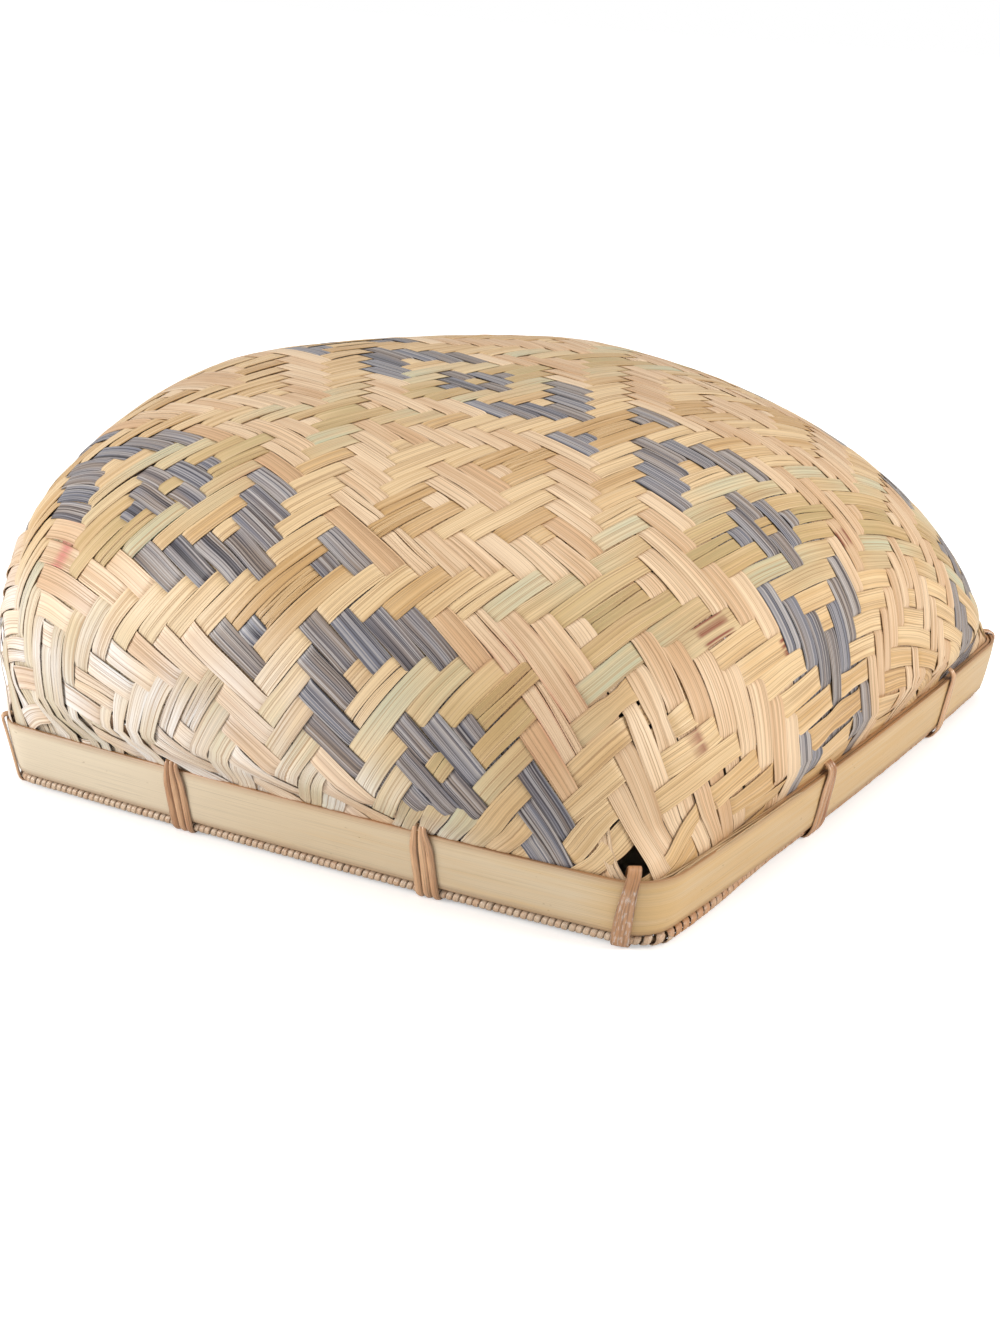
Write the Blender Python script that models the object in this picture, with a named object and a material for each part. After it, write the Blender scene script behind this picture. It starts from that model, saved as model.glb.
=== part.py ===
"""Woven basket tray, standing mouth down.

Metres, +Z up. The origin is on the floor under the middle of the mouth.
Seen from the front right, the near corner is at +X -Y.
"""

import math

import bmesh
import bpy
from mathutils import Matrix, Vector

# Mouth outline, along the outer hoop's lower outer edge
HALF_X = 0.160  # middle of the mouth to the middle of the right side
HALF_Y = 0.1737  # middle of the mouth to the middle of the back side
SIDE_BOW = 3.54  # radius that each side bows out on
CORNER = 0.015  # radius of each corner

# Hoops
HOOP_HEIGHT = 0.0235
HOOP_THICK = 0.0013
HOOP_CROWN = 0.0004  # how far a hoop's outer face rounds out at half height
FLARE = 0.0045  # how far a hoop's top edge stands out beyond its lower edge
LAP_FROM = 0.016  # near corner's middle to the covered end of the outer hoop
LAP_PAST = 0.030  # right corner's middle to the uncovered end of the outer hoop
INNER_LAP = 0.110  # length of the inner hoop's lap, on the back side
STEP = 0.026  # length over which a lapped layer steps over the other

# Woven shell
WALL = 0.0018
BELLY_OUT = 0.0214  # belly's half width beyond the mouth's
BELLY_UP = 0.0420  # hoops' lower edge to the widest level
CROWN_UP = 0.1606  # hoops' lower edge to the top
BELLY_CORNER = 1.19  # belly's reach towards a corner over its reach towards a side
SIDE_POWER = 2.89  # how late the shell leaves the upright, towards a side
SIDE_ROOT = 3.28  # how flat it is at the top, towards a side
CORNER_POWER = 1.69  # the same two towards a corner
CORNER_ROOT = 2.75
SWELL_LEAN = 0.7  # how directly the shell heads for the belly as it leaves the hoops
BELLY_X = -0.0046  # how far the belly has slumped off the middle of the mouth
BELLY_Y = -0.0033
LEAN_X = -0.0399  # how far the top has
LEAN_Y = -0.0055
HOLE_WIDE = 0.0092  # opening in the weave above the near corner's tie
HOLE_HIGH = 0.0108

# Edge cane and its lashing
CORE_RADIUS = 0.0011
CORE_GAP = 0.001  # between the cane's two ends
LASH_INNER = 0.0014
LASH_VALLEY = 0.0020
LASH_CREST = 0.0023
LASH_TURNS = 144
LASH_OPEN_FROM = 0.012  # near corner's middle to the bare stretch of cane
LASH_OPEN = 0.008  # length of the bare stretch

# Ties
TIE_THICK = 0.0009
STRAND = 0.0037  # width of one strand of a side's tie
CORNER_STRAND = 0.0044  # width of one strand of a corner's tie
TIE_EASE = 0.00035  # between a tie and what it wraps
TIE_BEVEL = 0.0002

GAP = 0.0003  # between pieces that touch

# Each tie: the corner that it is counted from, its share of the way to the next one,
# its strands and the width of a strand
NEAR, RIGHT, FAR, LEFT = range(4)
TIES = {
    "tie_near_corner": (NEAR, 0.0, 1, CORNER_STRAND),
    "tie_right_a": (NEAR, 0.40, 3, STRAND),
    "tie_right_b": (NEAR, 0.80, 2, STRAND),
    "tie_right_corner": (RIGHT, 0.0, 2, CORNER_STRAND / 2),
    "tie_back_a": (RIGHT, 0.33, 3, STRAND),
    "tie_back_b": (RIGHT, 0.67, 2, STRAND),
    "tie_far_corner": (FAR, 0.0, 2, CORNER_STRAND / 2),
    "tie_left_a": (FAR, 0.33, 2, STRAND),
    "tie_left_b": (FAR, 0.67, 3, STRAND),
    "tie_left_corner": (LEFT, 0.0, 2, CORNER_STRAND / 2),
    "tie_front_a": (LEFT, 0.31, 3, STRAND),
    "tie_front_b": (LEFT, 0.70, 3, STRAND),
}

# How finely the shapes are drawn
SIDE_STEPS = 11
CORNER_STEPS = 5
SWELL_STEPS = 5
CROWN_STEPS = 12
TUBE_SIDES = 8

# Levels, up from the floor
BEAD_Z = TIE_THICK + TIE_EASE + LASH_CREST
EDGE_Z = BEAD_Z + LASH_CREST + GAP
HOOP_TOP = EDGE_Z + HOOP_HEIGHT
BELLY_Z = EDGE_Z + BELLY_UP
CROWN_Z = EDGE_Z + CROWN_UP

# Places across the rim at the hoops' lower edge, outwards from the mouth outline
WEAVE_OUT = -HOOP_THICK - GAP
INNER_OUT = WEAVE_OUT - WALL - GAP
INNER_IN = INNER_OUT - HOOP_THICK
BEAD_OUT = (WEAVE_OUT * 2 - WALL) / 2
LAP_STEP = HOOP_THICK + HOOP_CROWN + GAP


class Rim:
    """Mouth outline: four bowed sides and four round corners that meet smoothly."""

    def __init__(self, half_x, half_y, bow, corner):
        a = half_x - bow
        b = half_y - bow
        slope = a / b
        rise = (b * b - a * a) / (2 * b)
        square = 1 + slope * slope
        linear = 2 * (slope * rise - a)
        rest = a * a + rise * rise - (bow - corner) ** 2
        cx = (-linear + math.sqrt(linear * linear - 4 * square * rest)) / (2 * square)
        cy = slope * cx + rise
        t1 = math.atan2(cy, cx - a)
        t2 = math.atan2(cy - b, cx)
        half, full = math.pi, 2 * math.pi
        self.arcs = [
            ((a, 0), bow, -t1, t1),
            ((cx, cy), corner, t1, t2),
            ((0, b), bow, t2, half - t2),
            ((-cx, cy), corner, half - t2, half - t1),
            ((-a, 0), bow, half - t1, half + t1),
            ((-cx, -cy), corner, half + t1, half + t2),
            ((0, -b), bow, half + t2, full - t2),
            ((cx, -cy), corner, full - t2, full - t1),
        ]
        self.lengths = [radius * (end - start) for _, radius, start, end in self.arcs]
        self.length = sum(self.lengths)
        self.half_corner = self.lengths[1] / 2

    def at(self, s):
        """Point and outward normal at length s, anticlockwise from the near corner's middle."""
        left = (s - self.half_corner) % self.length
        for ((cx, cy), radius, start, _), length in zip(self.arcs, self.lengths):
            if left <= length:
                break
            left -= length
        angle = start + min(left, length) / radius
        out = Vector((math.cos(angle), math.sin(angle)))
        return Vector((cx, cy)) + radius * out, out

    def corner(self, number):
        """Length at the middle of a corner, counted from the near one."""
        sides = sum(self.lengths[0 : 2 * number : 2])
        return sides + 2 * number * self.half_corner

    def marks(self):
        """Lengths of the stations round the whole outline, from the right side's start."""
        lengths = []
        s = self.half_corner
        for number, length in enumerate(self.lengths):
            steps = CORNER_STEPS if number % 2 else SIDE_STEPS
            lengths += [s + length * step / steps for step in range(steps)]
            s += length
        return lengths

    def marks_between(self, start, end, extra=()):
        """Stations from start to end, which may lie more than one round apart."""
        found = {start, end, *extra}
        for turn in range(-1, 3):
            found.update(m + turn * self.length for m in self.marks())
        kept = [start]
        for s in sorted(found):
            if kept[-1] + 0.001 < s < end - 0.001:
                kept.append(s)
        return kept + [end]


def smooth(value):
    """Ease from 0 to 1."""
    value = min(max(value, 0.0), 1.0)
    return value * value * (3 - 2 * value)


def dress(name, bm, color, roughness=0.6):
    """Turn a bmesh into a named object with its own material."""
    bmesh.ops.recalc_face_normals(bm, faces=bm.faces)
    mesh = bpy.data.meshes.new(name)
    bm.to_mesh(mesh)
    bm.free()
    mesh.shade_smooth()
    mesh.set_sharp_from_angle(angle=math.radians(40))
    material = bpy.data.materials.new(name)
    material.use_nodes = True
    shader = material.node_tree.nodes["Principled BSDF"]
    shader.inputs["Base Color"].default_value = (*color, 1.0)
    shader.inputs["Roughness"].default_value = roughness
    mesh.materials.append(material)
    made = bpy.data.objects.new(name, mesh)
    bpy.context.collection.objects.link(made)
    return made


def cut(target, cutter):
    """Cut one object out of another and hide the cutter."""
    cutter.hide_render = True
    cutter.display_type = "WIRE"
    modifier = target.modifiers.new(cutter.name, "BOOLEAN")
    modifier.operation = "DIFFERENCE"
    modifier.solver = "EXACT"
    modifier.object = cutter


def bridge(bm, rings, closed):
    """Join rings of vertices with quads; an open row of rings gets end caps."""
    pairs = list(zip(rings, rings[1:]))
    if closed:
        pairs.append((rings[-1], rings[0]))
    for ring, following in pairs:
        for i in range(len(ring)):
            j = (i + 1) % len(ring)
            bm.faces.new((ring[i], ring[j], following[j], following[i]))
    if not closed:
        bm.faces.new(rings[0])
        bm.faces.new(rings[-1])


def sweep(rim, stations, section):
    """Solid that follows the rim: section(s) lists the (out, z) corners of its outline."""
    bm = bmesh.new()
    rings = []
    for s in stations:
        point, out = rim.at(s)
        corners = [point + out * across for across, _ in section(s)]
        levels = [z for _, z in section(s)]
        rings.append([bm.verts.new((c.x, c.y, z)) for c, z in zip(corners, levels)])
    bridge(bm, rings, closed=False)
    return bm


def round_section(radius):
    """Round outline about the edge cane's middle."""
    turns = [2 * math.pi * (i + 0.5) / TUBE_SIDES for i in range(TUBE_SIDES)]
    return [
        (BEAD_OUT + radius * math.cos(a), BEAD_Z + radius * math.sin(a)) for a in turns
    ]


def outer_shift(rim, s):
    """How far the outer hoop's outermost layer stands out at a place round the rim."""
    s %= rim.length
    past = rim.corner(RIGHT) + LAP_PAST
    if s <= past:
        return LAP_STEP * smooth((s - LAP_FROM) / STEP + 1)
    return LAP_STEP * smooth((s - rim.length - LAP_FROM) / STEP + 1)


def inner_shift(rim, s):
    """How far the inner hoop's innermost layer stands in at a place round the rim."""
    start = rim.corner(RIGHT) + 0.5 * (rim.corner(FAR) - rim.corner(RIGHT) - INNER_LAP)
    s %= rim.length
    if s > start + INNER_LAP:
        return 0.0
    return LAP_STEP * smooth((s - start) / STEP + 1)


def hoop_section(face, crown):
    """Outline of a hoop strip whose outer lower edge is at face."""
    back = face - HOOP_THICK
    return [
        (back, EDGE_Z),
        (face, EDGE_Z),
        (face + FLARE * 0.3 + crown * 0.85, EDGE_Z + HOOP_HEIGHT * 0.3),
        (face + FLARE * 0.7 + crown * 0.85, EDGE_Z + HOOP_HEIGHT * 0.7),
        (face + FLARE, HOOP_TOP),
        (back + FLARE, HOOP_TOP),
    ]


def make_outer_hoop(rim):
    """Strip once round the mouth and on, over its own start, past the right corner."""
    start = LAP_FROM
    end = rim.length + rim.corner(RIGHT) + LAP_PAST
    ramp = rim.length + LAP_FROM - STEP
    extra = [ramp + STEP * i / 6 for i in range(7)]

    def section(s):
        step = LAP_STEP * smooth((s - ramp) / STEP)
        return hoop_section(step, HOOP_CROWN)

    bm = sweep(rim, rim.marks_between(start, end, extra), section)
    return dress("outer_hoop", bm, (0.56, 0.42, 0.20))


def make_inner_hoop(rim):
    """Strip once round inside the weave and on, inside its own start, on the back side."""
    start = rim.corner(RIGHT) + 0.5 * (rim.corner(FAR) - rim.corner(RIGHT) - INNER_LAP)
    end = rim.length + start + INNER_LAP
    ramp = rim.length + start - STEP
    extra = [ramp + STEP * i / 6 for i in range(7)]

    def section(s):
        step = LAP_STEP * smooth((s - ramp) / STEP)
        outline = hoop_section(0.0, HOOP_CROWN)
        back, face = -HOOP_THICK, 0.0
        flipped = [
            (back + face - across + 2 * FLARE * (z - EDGE_Z) / HOOP_HEIGHT, z)
            for across, z in outline
        ]
        return [(across + INNER_OUT - step, z) for across, z in flipped]

    bm = sweep(rim, rim.marks_between(start, end, extra), section)
    return dress("inner_hoop", bm, (0.50, 0.37, 0.18))


def crown_point(angle, share):
    """Point on the shell's outer face, from the belly at share 0 to near the top at 1."""
    side = (1 - share**SIDE_POWER) ** (1 / SIDE_ROOT)
    corner = BELLY_CORNER * (1 - share**CORNER_POWER) ** (1 / CORNER_ROOT)
    ratio = min(max(corner / side, 0.72), 1.40)
    power = 1 / (0.5 - math.log2(ratio))
    x, y = math.cos(angle), math.sin(angle)
    reach = side * (abs(x) ** power + abs(y) ** power) ** (-1 / power)
    return Vector(
        (
            (HALF_X + BELLY_OUT) * reach * x + BELLY_X + (LEAN_X - BELLY_X) * share,
            (HALF_Y + BELLY_OUT) * reach * y + BELLY_Y + (LEAN_Y - BELLY_Y) * share,
            BELLY_Z + (CROWN_Z - BELLY_Z) * share,
        )
    )


def make_body(rim):
    """Woven shell: upright between the hoops, swelling to a belly, domed over the top."""
    bm = bmesh.new()
    stations = rim.marks()
    rings = []

    for share in (0.0, 0.5, 1.0):
        ring = []
        for s in stations:
            point, out = rim.at(s)
            place = point + out * (WEAVE_OUT + FLARE * share)
            level = EDGE_Z + HOOP_HEIGHT * share
            ring.append(bm.verts.new((place.x, place.y, level)))
        rings.append(ring)

    angles = []
    for s in stations:
        point, _ = rim.at(s)
        angles.append(
            math.atan2(point.y / (HALF_Y + BELLY_OUT), point.x / (HALF_X + BELLY_OUT))
        )
    for i in range(1, len(angles)):
        while angles[i] < angles[i - 1]:
            angles[i] += 2 * math.pi

    lean = Vector((LEAN_X - BELLY_X, LEAN_Y - BELLY_Y, CROWN_Z - BELLY_Z)).normalized()
    for step in range(1, SWELL_STEPS):
        u = step / SWELL_STEPS
        ring = []
        for s, angle, below in zip(stations, angles, rings[2]):
            _, out = rim.at(s)
            start = below.co
            end = crown_point(angle, 0.0)
            rise = Vector((out.x * FLARE, out.y * FLARE, HOOP_HEIGHT)).normalized()
            rise = (rise + SWELL_LEAN * (end - start).normalized()).normalized()
            pull = (end - start).length
            place = (
                start * (2 * u**3 - 3 * u**2 + 1)
                + rise * pull * (u**3 - 2 * u**2 + u)
                + end * (3 * u**2 - 2 * u**3)
                + lean * pull * (u**3 - u**2)
            )
            ring.append(bm.verts.new(place))
        rings.append(ring)

    count = len(stations)
    for step in range(CROWN_STEPS):
        share = 1 - (1 - step / CROWN_STEPS) ** 2.2
        even = 0.7 * smooth(share)
        ring = []
        for i, angle in enumerate(angles):
            level = angles[0] + 2 * math.pi * i / count
            turned = angle + even * (level - angle)
            ring.append(bm.verts.new(crown_point(turned, share)))
        rings.append(ring)

    for ring, following in zip(rings, rings[1:]):
        for i in range(count):
            j = (i + 1) % count
            bm.faces.new((ring[i], ring[j], following[j], following[i]))
    top = bm.verts.new((LEAN_X, LEAN_Y, CROWN_Z))
    for i in range(count):
        bm.faces.new((rings[-1][i], rings[-1][(i + 1) % count], top))

    body = dress("woven_body", bm, (0.72, 0.55, 0.33))
    shell = body.modifiers.new("shell", "SOLIDIFY")
    shell.thickness = WALL
    shell.offset = -1.0
    shell.use_even_offset = True
    cut(body, make_slots(rim))
    cut(body, make_near_hole(rim))
    return body


def block(bm, rim, s, width, low, high, reach):
    """Add a box that stands across the rim at length s."""
    point, out = rim.at(s)
    along = Vector((-out.y, out.x))
    corners = []
    for z in (low, high):
        for across, side in ((-1, -1), (1, -1), (1, 1), (-1, 1)):
            place = point + out * reach * across + along * width / 2 * side
            corners.append(bm.verts.new((place.x, place.y, z)))
    bridge(bm, [corners[:4], corners[4:]], closed=False)


def make_slots(rim):
    """Cutter for the slots that let the ties through the weave above the hoops."""
    bm = bmesh.new()
    low = HOOP_TOP + TIE_EASE - GAP
    high = HOOP_TOP + TIE_EASE + TIE_THICK + GAP
    for corner, share, strands, strand in TIES.values():
        s = tie_place(rim, corner, share)
        block(bm, rim, s, strands * strand + 2 * GAP, low, high, reach=0.014)
    return dress("cut_tie_slots", bm, (0.1, 0.1, 0.1))


def make_near_hole(rim):
    """Cutter for the gap that the strands leave above the near corner's tie."""
    bm = bmesh.new()
    point, out = rim.at(0.0)
    along = Vector((-out.y, out.x))
    middle = HOOP_TOP + TIE_EASE + HOLE_HIGH / 2
    rings = []
    for reach in (-0.03, 0.03):
        ring = []
        for i in range(8):
            turn = 2 * math.pi * (i + 0.5) / 8
            x = math.copysign(abs(math.cos(turn)) ** 1.3, math.cos(turn))
            z = math.copysign(abs(math.sin(turn)) ** 1.3, math.sin(turn))
            place = point + out * reach + along * (x * HOLE_WIDE * 0.56)
            ring.append(bm.verts.new((place.x, place.y, middle + z * HOLE_HIGH * 0.56)))
        rings.append(ring)
    bridge(bm, rings, closed=False)
    return dress("cut_near_hole", bm, (0.1, 0.1, 0.1))


def make_core(rim):
    """Edge cane, bent once round with its two ends butted on the back side."""
    start = 0.5 * (rim.corner(RIGHT) + rim.corner(FAR)) + CORE_GAP / 2
    end = start + rim.length - CORE_GAP
    stations = rim.marks_between(start, end)
    bm = sweep(rim, stations, lambda s: round_section(CORE_RADIUS))
    return dress("edge_core", bm, (0.60, 0.44, 0.24))


def make_lashing(rim):
    """Strand wound round the edge cane: one rib for each turn, open near the corner."""
    start = LASH_OPEN_FROM + LASH_OPEN
    end = rim.length + LASH_OPEN_FROM
    pitch = (end - start) / LASH_TURNS
    radii = {}
    for turn in range(LASH_TURNS):
        radii[start + turn * pitch] = LASH_VALLEY
        radii[start + (turn + 0.5) * pitch] = LASH_CREST
    radii[end] = LASH_VALLEY
    bm = sweep(rim, list(radii), lambda s: round_section(radii[s]))
    lashing = dress("edge_lashing", bm, (0.58, 0.33, 0.17))
    stations = rim.marks_between(start - 0.002, end + 0.002)
    bore = sweep(rim, stations, lambda s: round_section(LASH_INNER))
    cut(lashing, dress("cut_lashing_bore", bore, (0.1, 0.1, 0.1)))
    return lashing


def tie_place(rim, corner, share):
    """Length round the rim at a tie's middle."""
    start = rim.corner(corner)
    return start + share * (rim.corner(corner + 1) - start)


def tie_path(rim, s, width):
    """Inner face of a tie as (out, z) points, from under the bead up the outside."""
    radius = CORNER if abs(corner_offset(rim, s)) < rim.half_corner else SIDE_BOW
    bulge = width**2 / (8 * (radius + INNER_IN))
    outside = outer_shift(rim, s) + TIE_EASE
    deepest = max(inner_shift(rim, s + side * width / 2) for side in (-1, 0, 1))
    inside = INNER_IN - HOOP_CROWN / 2 - deepest - bulge - TIE_EASE
    foot = LASH_CREST * 0.95 + bulge
    top = HOOP_TOP + TIE_EASE
    knee = EDGE_Z - 0.4 * LASH_CREST
    half = HOOP_HEIGHT / 2
    crown = HOOP_CROWN + FLARE / 2
    return [
        (BEAD_OUT - foot, TIE_THICK),
        (BEAD_OUT + foot, TIE_THICK),
        (outside, knee),
        (outside + crown, EDGE_Z + half),
        (outside + FLARE, top - TIE_BEVEL),
        (outside + FLARE - TIE_BEVEL, top),
        (inside + FLARE + TIE_BEVEL, top),
        (inside + FLARE, top - TIE_BEVEL),
        (inside - HOOP_CROWN / 2 + FLARE / 2, EDGE_Z + half),
        (inside, knee),
    ]


def corner_offset(rim, s):
    """Length from s to the middle of the nearest corner."""
    gaps = [(s - rim.corner(k) + rim.length / 2) % rim.length for k in range(4)]
    return min((g - rim.length / 2 for g in gaps), key=abs)


def make_tie(rim, name, corner, share, strands, strand):
    """Bundle of flat strands wrapped once round hoops, weave edge and lashed cane."""
    s = tie_place(rim, corner, share)
    width = strands * strand
    path = tie_path(rim, s, width)
    point, out = rim.at(s)
    along = Vector((-out.y, out.x))
    bm = bmesh.new()
    rings = []
    for i, (across, z) in enumerate(path):
        here = Vector((across, z))
        before = (here - Vector(path[i - 1])).normalized()
        after = (Vector(path[(i + 1) % len(path)]) - here).normalized()
        n1 = Vector((before.y, -before.x))
        n2 = Vector((after.y, -after.x))
        miter = (n1 + n2) / (1 + n1.dot(n2))
        edge = TIE_THICK if i < 2 else TIE_THICK * 0.6
        profile = [(-0.5, 0.0), (-0.5, edge)]
        for k in range(strands):
            profile.append(((k + 0.5) / strands - 0.5, TIE_THICK))
            profile.append(((k + 1) / strands - 0.5, edge))
        profile.append((0.5, 0.0))
        ring = []
        for side, height in profile:
            spot = here + miter * height
            place = point + out * spot.x + along * side * width
            ring.append(bm.verts.new((place.x, place.y, spot.y)))
        rings.append(ring)
    bridge(bm, rings, closed=True)
    return dress(name, bm, (0.58, 0.29, 0.14))


def centre_on_floor():
    """Move every mesh sideways together, so the whole tray's box stands over the origin."""
    solid = [o for o in bpy.data.objects if not o.hide_render]
    spots = [v.co for o in solid for v in o.data.vertices]
    middle_x = (min(c.x for c in spots) + max(c.x for c in spots)) / 2
    middle_y = (min(c.y for c in spots) + max(c.y for c in spots)) / 2
    for made in bpy.data.objects:
        made.data.transform(Matrix.Translation((-middle_x, -middle_y, 0.0)))


def main():
    """Build every piece of the tray."""
    for existing in list(bpy.data.objects):
        bpy.data.objects.remove(existing, do_unlink=True)
    rim = Rim(HALF_X, HALF_Y, SIDE_BOW, CORNER)
    make_body(rim)
    make_outer_hoop(rim)
    make_inner_hoop(rim)
    make_core(rim)
    make_lashing(rim)
    for name, place in TIES.items():
        make_tie(rim, name, *place)
    centre_on_floor()


main()
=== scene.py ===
"""Looks of a deep twill-woven basket tray that stands mouth down.

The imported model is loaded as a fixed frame. The woven shell becomes two sets of split
strips on a net over its surface, the hoops, edge cane, lashing and ties become finer
pieces in the same places, and each gets its own procedural finish. Lengths are metres.
"""

import logging
import math
from collections.abc import Sequence
from dataclasses import dataclass, field
from enum import Enum

import bmesh
import bpy
import numpy as np
from mathutils import Matrix, Vector
from mathutils.kdtree import KDTree


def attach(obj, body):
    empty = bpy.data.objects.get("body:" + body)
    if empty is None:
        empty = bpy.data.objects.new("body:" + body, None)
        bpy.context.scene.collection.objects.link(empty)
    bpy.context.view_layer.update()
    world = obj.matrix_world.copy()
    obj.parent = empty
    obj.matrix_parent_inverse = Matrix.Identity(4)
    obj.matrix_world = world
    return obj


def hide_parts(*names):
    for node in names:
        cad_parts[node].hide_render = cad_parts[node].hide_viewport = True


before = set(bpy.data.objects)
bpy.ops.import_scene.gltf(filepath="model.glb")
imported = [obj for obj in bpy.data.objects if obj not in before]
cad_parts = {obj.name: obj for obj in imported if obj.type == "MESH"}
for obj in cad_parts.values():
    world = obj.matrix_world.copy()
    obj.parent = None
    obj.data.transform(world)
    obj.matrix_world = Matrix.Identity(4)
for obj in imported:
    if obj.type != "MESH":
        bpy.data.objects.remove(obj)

log = logging.getLogger("tray")

Colour = Pitch = Place = tuple[float, float, float]
Pairs = Sequence[tuple[float, float]]
Spots = Sequence[tuple[Place, float]]
BODY = "root"
SEED = 41
LASHING_SEED, TIE_SEED, FIBRE_SEED, STRIP_SEED = SEED + 7, SEED + 11, SEED + 17, SEED + 500
ACROSS_SEED = 1000  # added for the crosswise strips
TURN = 2 * math.pi
UP = np.array([0.0, 0.0, 1.0])

PATH_NUMBERS = ("along", "across", "grain", "tone")  # what strips and canes store
# The bleach tint also carries a painted highlight on the lower front flank.
TINTS = ("olive", "mint", "bleach", "rust", "blush", "stain")  # what each strip adds
LANE_SHIFT = 37.0  # how far apart two strips' grains lie in the noise


# ---------------------------------------------------------------- node trees


class Wire:
    """One output socket of a node tree, on which sums and products add Math nodes."""

    def __init__(self, tree: "Tree", socket: bpy.types.NodeSocket) -> None:
        """Keep the socket and the tree that it belongs to."""
        self.tree = tree
        self.socket = socket

    def _math(self, operation: str, *values: "Wire | float") -> "Wire":
        """Add a Math node on these values."""
        return self.tree.node("ShaderNodeMath", {"operation": operation}, dict(enumerate(values)))

    def __add__(self, other: "Wire | float") -> "Wire":
        """Sum."""
        return self._math("ADD", self, other)

    def __radd__(self, other: float) -> "Wire":
        """Sum with a number on the left."""
        return self._math("ADD", other, self)

    def __sub__(self, other: "Wire | float") -> "Wire":
        """Difference."""
        return self._math("SUBTRACT", self, other)

    def __rsub__(self, other: float) -> "Wire":
        """Difference from a number."""
        return self._math("SUBTRACT", other, self)

    def __mul__(self, other: "Wire | float") -> "Wire":
        """Product."""
        return self._math("MULTIPLY", self, other)

    def __rmul__(self, other: float) -> "Wire":
        """Product with a number on the left."""
        return self._math("MULTIPLY", other, self)

    def __truediv__(self, other: "Wire | float") -> "Wire":
        """Quotient."""
        return self._math("DIVIDE", self, other)

    def __pow__(self, other: float) -> "Wire":
        """Power."""
        return self._math("POWER", self, other)

    def __abs__(self) -> "Wire":
        """Absolute value."""
        return self._math("ABSOLUTE", self)

    def ramp(self, low: float, high: float) -> "Wire":
        """Ease from 0 at low to 1 at high.

        Args:
            low: value that gives 0.
            high: value that gives 1; it may be below low.

        Returns:
            The eased value.
        """
        settings = {"interpolation_type": "SMOOTHSTEP"}
        inputs = {"Value": self, "From Min": low, "From Max": high}
        return self.tree.node("ShaderNodeMapRange", settings, inputs)


class Tree:
    """A node tree, filled through one method for every kind of node."""

    def __init__(self, tree: bpy.types.NodeTree) -> None:
        """Start with the tree empty."""
        self.tree = tree
        self.tree.nodes.clear()

    def node(self, kind: str, settings: dict, inputs: dict, output: int | str = 0) -> Wire:
        """Add a node.

        Args:
            kind: node type.
            settings: properties of the node, set before its sockets.
            inputs: socket name or number to a Wire or a value.
            output: which output to return.

        Returns:
            The chosen output as a Wire.
        """
        made = self.tree.nodes.new(kind)
        for key, value in settings.items():
            setattr(made, key, value)
        for key, value in inputs.items():
            socket = made.inputs[key]
            if isinstance(value, Wire):
                self.tree.links.new(value.socket, socket)
            else:
                socket.default_value = value
        enabled = [s for s in made.outputs if s.enabled]
        return Wire(self, enabled[output] if isinstance(output, int) else made.outputs[output])

    def vector_math(self, operation: str, *vectors: Wire, **numbers: "Wire | float") -> Wire:
        """Add a Vector Math node on vectors or colours, with numbers by socket name."""
        inputs = dict(enumerate(vectors)) | numbers
        return self.node("ShaderNodeVectorMath", {"operation": operation}, inputs)

    def close(self, kind: str, **ends: Wire) -> None:
        """Add the tree's output node and join its sockets."""
        leave = self.tree.nodes.new(kind)
        for name, wire in ends.items():
            self.tree.links.new(wire.socket, leave.inputs[name])


class Graph(Tree):
    """A material's node tree, with the steps that the finishes share."""

    def __init__(self, name: str) -> None:
        """Make a material with an empty tree.

        Args:
            name: the material's name.
        """
        self.material = bpy.data.materials.new(name)
        self.material.use_nodes = True
        super().__init__(self.material.node_tree)

    def attribute(self, name: str) -> Wire:
        """Number stored on the mesh under this name."""
        return self.node("ShaderNodeAttribute", {"attribute_name": name}, {}, "Fac")

    def noise(self, place: Sequence, pitch: Pitch, detail: float = 1.0, rough: float = 0.5) -> Wire:
        """Soft noise about 0.5.

        Args:
            place: three coordinates, each a Wire or a number.
            pitch: how often the noise changes along each of them.
            detail: number of finer layers.
            rough: strength of the finer layers.

        Returns:
            The noise value.
        """
        spot = {axis: part * often for axis, part, often in zip("XYZ", place, pitch)}
        vector = self.node("ShaderNodeCombineXYZ", {}, spot)
        inputs = {"Vector": vector, "Scale": 1.0, "Detail": detail, "Roughness": rough}
        return self.node("ShaderNodeTexNoise", {}, inputs, "Fac")

    def mix(self, share: Wire | float, first: Wire | Colour, second: Wire | Colour) -> Wire:
        """Mix two colours.

        Args:
            share: how much of the second colour shows.
            first: colour at share 0.
            second: colour at share 1.

        Returns:
            The mixed colour.
        """
        values = [c if isinstance(c, Wire) else (*c, 1.0) for c in (first, second)]
        settings = {"data_type": "RGBA", "clamp_factor": True}
        return self.node("ShaderNodeMix", settings, {0: share, 6: values[0], 7: values[1]})

    def shade(self, colour: Wire, value: Wire) -> Wire:
        """Multiply a colour by a number."""
        return self.vector_math("SCALE", colour, Scale=value)

    def finish(
        self, colour: Wire, rough: Wire, height: Wire, relief: float, **fixed: float
    ) -> bpy.types.Material:
        """Close the tree with a Principled shader.

        Args:
            colour: base colour.
            rough: roughness.
            height: height of the surface, from 0 to about 1.
            relief: how many metres a height of 1 stands for.
            fixed: numbers for the shader's other sockets, with _ for spaces.

        Returns:
            The material.
        """
        raised_by = {"Height": height, "Distance": relief, "Strength": 1.0}
        normal = self.node("ShaderNodeBump", {}, raised_by)
        inputs = {"Base Color": colour, "Roughness": rough, "Normal": normal}
        inputs |= {key.replace("_", " "): value for key, value in fixed.items()}
        shader = self.node("ShaderNodeBsdfPrincipled", {}, inputs)
        self.close("ShaderNodeOutputMaterial", Surface=shader)
        return self.material


# ---------------------------------------------------------------- finishes


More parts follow.
